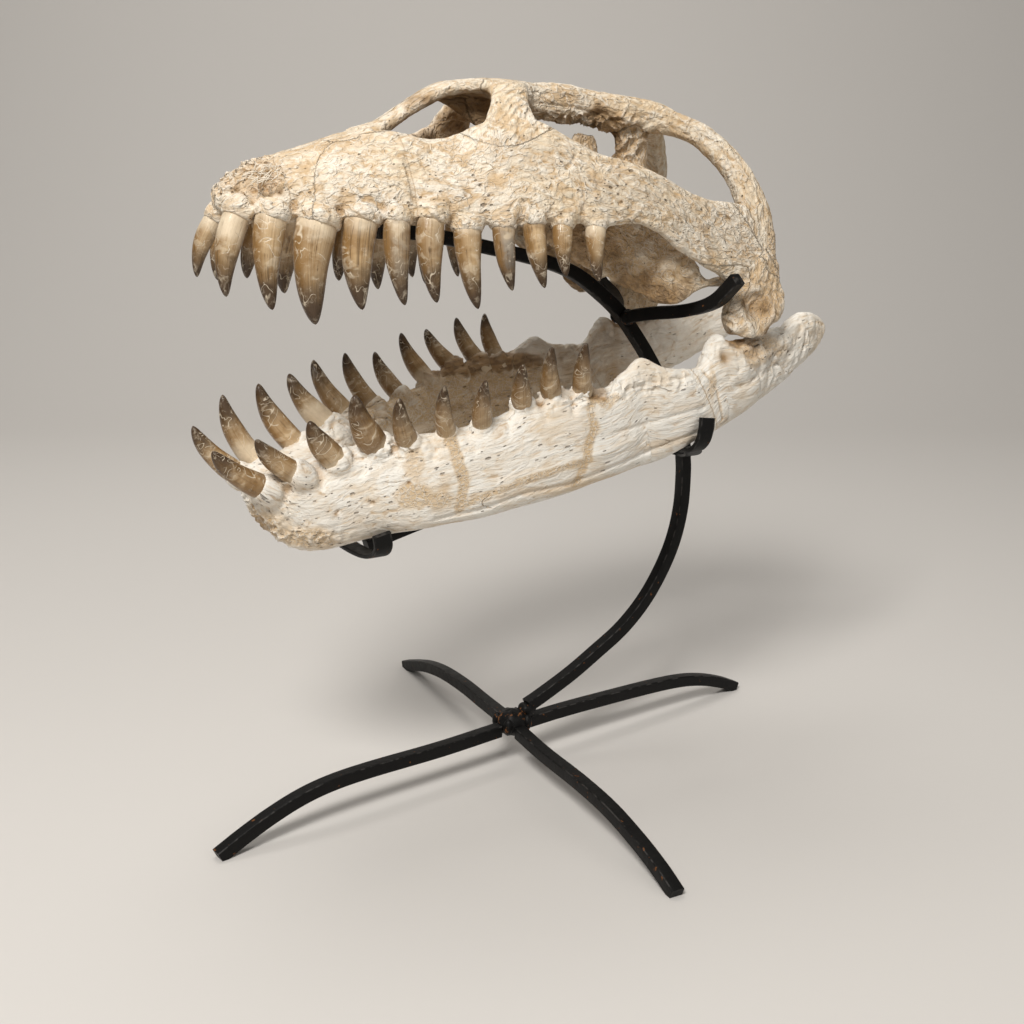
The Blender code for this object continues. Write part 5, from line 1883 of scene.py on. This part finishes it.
CRANIUM_CRUMPLES = forms(Crumple, rows=(
    ((-0.196, 0, 0.444), (0.022, 0.05, 0.015), 0.006, -0.003),
    ((0.088, 0, 0.46), (0.022, 0.034, 0.026), 0.01, -0.0024),
    ((0.048, 0, 0.476), (0.045, 0.022, 0.006), 0.005, -0.0024),
)) + forms(Crumple, paired=True, rows=(
    ((0.07, -0.045, 0.386), (0.055, 0.022, 0.034), 0.019, 0.0026),
    ((0.16, -0.07, 0.35), (0.03, 0.024, 0.028), 0.011, 0.0016),
    ((-0.05, -0.052, 0.415), (0.11, 0.04, 0.008), 0.006, 0.0007),
))
CRANIUM_STAINS = forms(Stain, tone=Tone.TAN, rows=(
    ((-0.195, 0, 0.444), (0.022, 0.04, 0.02), 0.6), ((0.095, 0, 0.455), (0.03, 0.03, 0.026), 0.8),
    ((0.06, 0, 0.486), (0.07, 0.03, 0.014), 0.3),
)) + forms(Stain, tone=Tone.TAN, paired=True, rows=(
    ((-0.14, -0.022, 0.462), (0.04, 0.014, 0.006), 0.55), ((-0.05, -0.06, 0.436), (0.012, 0.01, 0.01), 0.5),
    ((0.07, -0.044, 0.39), (0.06, 0.026, 0.045), 1.0), ((0.16, -0.07, 0.348), (0.03, 0.024, 0.03), 0.8),
    ((0.18, -0.068, 0.38), (0.01, 0.02, 0.04), 0.8),
)) + forms(Stain, tone=Tone.GREY, paired=True, rows=(
    ((-0.02, -0.058, 0.452), (0.03, 0.02, 0.016), 0.5), ((0.04, -0.072, 0.43), (0.04, 0.02, 0.014), 0.45),
    ((0.105, -0.072, 0.405), (0.04, 0.02, 0.022), 0.45),
)) + forms(Stain, tone=Tone.PALE, paired=True, rows=(
    ((-0.13, -0.048, 0.426), (0.032, 0.02, 0.009), 0.8), ((-0.08, -0.058, 0.432), (0.03, 0.02, 0.012), 0.7),
    ((-0.01, -0.048, 0.478), (0.014, 0.014, 0.016), 0.8),
)) + forms(Stain, tone=Tone.SEDIMENT, rows=(
    ((0.06, 0, 0.464), (0.012, 0.01, 0.012), 0.45), ((0.064, -0.01, 0.482), (0.008, 0.012, 0.008), 0.9),
    ((0.084, 0, 0.458), (0.006, 0.016, 0.02), 0.8), ((-0.03, 0, 0.48), (0.03, 0.008, 0.014), 1.0),
    # painted shade: the second stain on the next line darkens the underside of the roof over the orbits
    ((0.07, 0, 0.474), (0.01, 0.018, 0.006), 0.7), ((-0.045, 0, 0.488), (0.04, 0.02, 0.008), 0.9),
)) + forms(Stain, tone=Tone.SEDIMENT, paired=True, rows=(
    # brown sediment with painted shade: all stains of this table but the last, at the foot of the quadrate,
    # darken the pterygoids in the hollow under the cheeks
    ((0.072, -0.044, 0.364), (0.042, 0.02, 0.014), 0.85), ((0.04, -0.036, 0.395), (0.03, 0.02, 0.016), 0.8),
    ((0.03, -0.03, 0.405), (0.04, 0.02, 0.01), 0.85), ((0.106, -0.056, 0.362), (0.012, 0.014, 0.01), 0.8),
    ((0.086, -0.05, 0.358), (0.022, 0.016, 0.008), 0.9), ((0.17, -0.072, 0.33), (0.012, 0.018, 0.006), 0.8),
)) + forms(Stain, tone=Tone.PITTED, rows=(
    ((-0.195, 0, 0.44), (0.026, 0.05, 0.024), 1.0),
)) + forms(Stain, tone=Tone.PITTED, paired=True, rows=(
    ((-0.1, -0.052, 0.428), (0.07, 0.024, 0.012), 0.9), ((0.0, -0.074, 0.424), (0.05, 0.02, 0.012), 0.8),
))

# ---- mandible
RAMUS = Strut("ramus", stations=(
    (-0.203, -0.006, 0.24, -0.203, -0.006, 0.25, 0.01),
    (-0.199, -0.0075, 0.231, -0.199, -0.0075, 0.2535, 0.015, -0.4),
    (-0.194, -0.01, 0.2215, -0.194, -0.01, 0.256, 0.02, -0.4),
    (-0.187, -0.013, 0.211, -0.187, -0.013, 0.2585, 0.027, -0.35),
    (-0.179, -0.0155, 0.204, -0.179, -0.0155, 0.2605, 0.033, -0.25),
    (-0.168, -0.018, 0.2005, -0.168, -0.018, 0.2625, 0.038, -0.1),
    (-0.154, -0.021, 0.2013, -0.154, -0.021, 0.266, 0.04),
    (-0.14, -0.027, 0.205, -0.14, -0.027, 0.2695, 0.036),
    (-0.125, -0.034, 0.208, -0.125, -0.034, 0.2735, 0.032),
    (-0.1, -0.047, 0.2125, -0.1, -0.048, 0.2765, 0.029),
    (-0.075, -0.055, 0.216, -0.075, -0.056, 0.2805, 0.028),
    (-0.05, -0.061, 0.2195, -0.05, -0.063, 0.2865, 0.027),
    (-0.025, -0.066, 0.2245, -0.025, -0.068, 0.297, 0.026),
    (0.0, -0.07, 0.2295, 0.0, -0.072, 0.3025, 0.025),
    (0.025, -0.072, 0.2345, 0.025, -0.074, 0.3015, 0.023),
    (0.045, -0.073, 0.2385, 0.046, -0.073, 0.3095, 0.02),
    (0.06, -0.073, 0.2415, 0.062, -0.07, 0.319, 0.017),
    (0.078, -0.073, 0.2438, 0.079, -0.074, 0.3115, 0.016),
    (0.098, -0.072, 0.25, 0.098, -0.075, 0.3095, 0.017),
    (0.111, -0.071, 0.2545, 0.111, -0.074, 0.31, 0.018),
    (0.1205, -0.071, 0.2575, 0.1205, -0.073, 0.324, 0.02),
    (0.129, -0.07, 0.26, 0.129, -0.071, 0.33, 0.024),
    (0.142, -0.068, 0.2645, 0.142, -0.069, 0.325, 0.028),
    (0.16, -0.066, 0.271, 0.16, -0.067, 0.3245, 0.027),
    (0.175, -0.064, 0.277, 0.175, -0.064, 0.3285, 0.022),
    (0.2, -0.06, 0.2875, 0.2, -0.06, 0.3305, 0.018),
    (0.221, -0.055, 0.2975, 0.221, -0.055, 0.339, 0.017),
    (0.242, -0.05, 0.309, 0.241, -0.05, 0.337, 0.014),
    (0.2525, -0.049, 0.318, 0.253, -0.049, 0.329, 0.008),
))
LOWER_LEFT = forms(ToothPlan, rows=(
    (-0.196, 0.023, 0.247, 0.036, 0.004, 0.03, 0.008, 0.1, 0.9, 0.1),
    (-0.178, 0.031, 0.256, 0.028, 0.003, 0.027, 0.0078, 0.1, 0.55, 0.2),
    (-0.151, 0.033, 0.262, 0.021, 0.006, 0.03, 0.0088, 0.2, 0.45, 0.3),
    (-0.126, 0.039, 0.27, 0.02, 0.012, 0.038, 0.0095, 0.2, 0.9, 0.1),
    (-0.108, 0.049, 0.273, 0.014, 0.017, 0.033, 0.0072, 0.2, 0.6, 0.1),
    (-0.083, 0.056, 0.277, 0.011, 0.018, 0.036, 0.0066, 0.1, 0.5, 0.2),
    (-0.06, 0.062, 0.281, 0.008, 0.019, 0.034, 0.007, 0.2, 0.5, 0.2),
    (-0.032, 0.067, 0.293, 0.011, 0.019, 0.031, 0.007, 0.1, 0.6, 0.1),
    (-0.011, 0.07, 0.299, 0.012, 0.019, 0.035, 0.007, 0.2, 0.5, 0.1),
    (0.012, 0.073, 0.3, 0.009, 0.017, 0.035, 0.0068, 0.2, 0.5, 0.1),
))
LOWER_RIGHT = forms(ToothPlan, rows=(
    (-0.199, 0.02, 0.248, 0.029, 0.003, 0.036, 0.0076, 0.1, 0.5, 0.2),
    (-0.182, 0.032, 0.252, 0.02, 0.006, 0.048, 0.0085, 0.2, 0.4, 0.7),
    (-0.152, 0.032, 0.26, 0.024, 0.008, 0.045, 0.0088, 0.1, 0.5, 0.2),
    (-0.125, 0.039, 0.27, 0.024, 0.013, 0.038, 0.0088, 0.1, 0.4, 0.9),
    (-0.107, 0.049, 0.274, 0.018, 0.017, 0.04, 0.008, 0.2, 0.5, 0.2),
    (-0.083, 0.056, 0.277, 0.014, 0.018, 0.039, 0.0075, 0.1, 0.6, 0.1),
    (-0.058, 0.062, 0.282, 0.012, 0.019, 0.032, 0.0072, 0.2, 0.6, 0.1),
    (-0.033, 0.066, 0.291, 0.013, 0.019, 0.035, 0.0072, 0.1, 0.5, 0.3),
    (-0.01, 0.07, 0.299, 0.013, 0.019, 0.028, 0.007, 0.2, 0.5, 0.1),
    (0.014, 0.073, 0.301, 0.01, 0.017, 0.033, 0.007, 0.2, 0.5, 0.1),
    (0.032, 0.075, 0.302, 0.004, 0.013, 0.034, 0.0068, 0.1, 0.5, 0.2),
))
INNER_RIDGE = Strut("inner ridge", stations=(
    (-0.095, -0.036, 0.24, -0.095, -0.036, 0.247, 0.006),
    (-0.06, -0.0475, 0.25, -0.06, -0.0475, 0.259, 0.01),
    (-0.02, -0.0565, 0.262, -0.02, -0.0565, 0.27, 0.01),
    (0.02, -0.0635, 0.269, 0.02, -0.0635, 0.276, 0.009),
    (0.06, -0.066, 0.273, 0.06, -0.066, 0.278, 0.006),
))
MANDIBLE_CUTS = forms(Cut, rows=(
    ((-0.17, 0, 0.235), ASIDE, UP, 0.06, 0.06),
)) + forms(Cut, paired=True, rows=(
    ((0.113, -0.073, 0.288), (0.86, 0, 0.5), UP, 0.04, 0.06),
))
PAIRED_MANDIBLE_PLACES = {
    "lower_jaw": (-0.07, -0.05, 0.26),
    "jaw_hinge": (0.17, -0.065, 0.3),
}
MANDIBLE_GROOVES = forms(Groove, side=Side.BOTH, rows=(
    (((-0.0948, 0.2214), (-0.0669, 0.2258), (-0.0333, 0.2352), (-0.0011, 0.2381), (0.0339, 0.2467),
      (0.0754, 0.2558), (0.1159, 0.264)), 0.0016, 0.0013),
    (((0.0312, 0.2705), (0.0688, 0.2745), (0.1105, 0.2805)), 0.0015, 0.001),
    (((0.0256, 0.2982), (0.0592, 0.3008), (0.1031, 0.3043)), 0.0014, 0.0008),
    (((0.1109, 0.3062), (0.1226, 0.2915), (0.1249, 0.2833), (0.1302, 0.2702)), 0.0009, 0.0013, 0.7),
)) + forms(Groove, side=Side.LEFT, rows=(
    (((0.0157, 0.2979), (0.0126, 0.2879), (0.0144, 0.2768), (0.0106, 0.264), (0.0091, 0.2552),
      (0.0036, 0.2369)), 0.0042, 0.0005, 1.0),
    (((-0.0777, 0.2309), (-0.0549, 0.2387), (-0.0324, 0.2455), (-0.0077, 0.2508),
      (0.0118, 0.2541)), 0.0034, 0.0004, 0.9),
    (((-0.0847, 0.2757), (-0.0812, 0.2627), (-0.0783, 0.2476),
      (-0.08, 0.2276)), 0.0042, 0.0004, 1.0),
    (((0.0157, 0.2979), (0.026, 0.29), (0.034, 0.295)), 0.0032, 0.0005, 0.8),
)) + forms(Groove, side=Side.BOTH, rows=(
    (((-0.05, 0.242), (0.0, 0.254), (0.05, 0.264)), 0.005, -0.0012),
    (((0.15, 0.306), (0.185, 0.317), (0.23, 0.329)), 0.0035, -0.0012),
    (((0.14, 0.292), (0.18, 0.303), (0.215, 0.316)), 0.0028, 0.0012),
))
MANDIBLE_PITS = forms(Pit, rows=(
    ((0.0185, -0.079, 0.2985), 0.0045, 0.0045), ((0.025, -0.079, 0.295), 0.003, 0.003),
    ((-0.022, -0.072, 0.293), 0.0034, 0.003), ((0.143, -0.07, 0.3265), 0.006, 0.0032),
    ((0.13, -0.079, 0.314), 0.005, 0.0022), ((-0.156, -0.042, 0.23), 0.0016, 0.0022),
    ((-0.135, -0.048, 0.235), 0.0016, 0.0022), ((-0.112, -0.056, 0.248), 0.0016, 0.0022),
))
MANDIBLE_CRUMPLES = forms(Crumple, rows=(
    ((-0.195, 0, 0.22), (0.02, 0.046, 0.018), 0.0055, -0.0014),
    ((-0.174, -0.034, 0.213), (0.024, 0.026, 0.01), 0.006, -0.001),
)) + forms(Crumple, paired=True, rows=(
    ((0.0, -0.071, 0.3), (0.11, 0.024, 0.009), 0.007, -0.0015),
    ((-0.12, -0.04, 0.27), (0.08, 0.026, 0.008), 0.0065, 0.0016),
    ((0.175, -0.064, 0.314), (0.075, 0.026, 0.024), 0.009, 0.0015),
)) + forms(Crumple, rows=(
    ((0.01, 0.066, 0.28), (0.09, 0.016, 0.02), 0.01, 0.0014),
))
MANDIBLE_STAINS = forms(Stain, tone=Tone.TAN, rows=(
    ((-0.109, -0.056, 0.24), (0.011, 0.024, 0.01), 0.95),
    ((-0.093, -0.058, 0.236), (0.012, 0.024, 0.006), 0.85),
    ((-0.108, -0.052, 0.258), (0.006, 0.02, 0.014), 0.7), ((-0.02, 0.06, 0.27), (0.15, 0.026, 0.03), 1.0),
    ((0.165, -0.07, 0.316), (0.03, 0.022, 0.01), 0.8), ((-0.193, 0, 0.22), (0.016, 0.036, 0.014), 1.0),
    ((-0.174, -0.034, 0.213), (0.02, 0.024, 0.009), 0.85),
    ((0.01, -0.072, 0.236), (0.09, 0.02, 0.005), 0.6), ((0.09, -0.073, 0.258), (0.05, 0.02, 0.004), 0.55),
    ((0.118, -0.073, 0.296), (0.003, 0.02, 0.014), 0.8),
)) + forms(Stain, tone=Tone.GREY, rows=(
    ((-0.169, -0.038, 0.226), (0.026, 0.024, 0.012), 0.5),
)) + forms(Stain, tone=Tone.GREY, paired=True, rows=(
    ((0.164, -0.066, 0.31), (0.036, 0.024, 0.014), 0.75),
    ((-0.14, -0.034, 0.225), (0.05, 0.024, 0.02), 0.4),
)) + forms(Stain, tone=Tone.PALE, paired=True, rows=(
    ((0.205, -0.06, 0.308), (0.04, 0.024, 0.024), 0.4), ((0.06, -0.074, 0.27), (0.09, 0.024, 0.034), 0.8),
    ((-0.05, -0.064, 0.262), (0.06, 0.024, 0.02), 0.6),
)) + forms(Stain, tone=Tone.SEDIMENT, rows=(
    ((0.156, -0.072, 0.316), (0.012, 0.018, 0.005), 0.55), ((-0.196, 0, 0.214), (0.012, 0.03, 0.01), 0.6),
    ((0.01, 0.071, 0.3), (0.08, 0.02, 0.008), 0.95), ((0.02, -0.076, 0.299), (0.01, 0.01, 0.006), 0.7),
)) + forms(Stain, tone=Tone.SEDIMENT, paired=True, rows=(
    ((0.144, -0.07, 0.325), (0.012, 0.024, 0.006), 0.95),
)) + forms(Stain, tone=Tone.PITTED, rows=(
    ((0.17, -0.07, 0.312), (0.03, 0.022, 0.012), 1.0), ((-0.165, -0.02, 0.232), (0.06, 0.05, 0.03), 1.0),
)) + forms(Stain, tone=Tone.PITTED, paired=True, rows=(
    ((-0.04, -0.066, 0.262), (0.07, 0.02, 0.024), 0.7),
))


def main() -> None:
    """Builds the studio, the stand and the bones."""
    logging.basicConfig(level=logging.INFO, format="%(name)s: %(message)s")
    bpy.ops.object.select_all(action="DESELECT")
    bone = BoneFinish("fossil bone of the cranium")
    pale_bone = BoneFinish("fossil bone of the mandible", cream=(0.76, 0.695, 0.595),
                           pale=(0.8, 0.77, 0.705), tan=(0.58, 0.415, 0.235),
                           grey=(0.54, 0.51, 0.46), grain=(3.2, 1.0, 1.0), paleness=0.9,
                           stained=0.36, coarse=0.27, wrinkle=0.08, fibre=0.55, thread=0.16,
                           pitting=0.58)
    Studio().build()
    Stand().build()
    Cranium("cranium", CRANIUM_STRUTS, UPPER_LEFT, UPPER_RIGHT, CRANIUM_CUTS, CRANIUM_PLACES,
            PAIRED_CRANIUM_PLACES, bone, CRANIUM_GROOVES, CRANIUM_PITS, CRANIUM_CRUMPLES,
            CRANIUM_STAINS, seed=3).build()
    Needles().build(bone.material())
    Mandible("mandible", (RAMUS, INNER_RIDGE), LOWER_LEFT, LOWER_RIGHT, MANDIBLE_CUTS, {},
             PAIRED_MANDIBLE_PLACES, pale_bone, MANDIBLE_GROOVES, MANDIBLE_PITS,
             MANDIBLE_CRUMPLES, MANDIBLE_STAINS, seed=5).build()


if __name__ == "__main__":
    main()
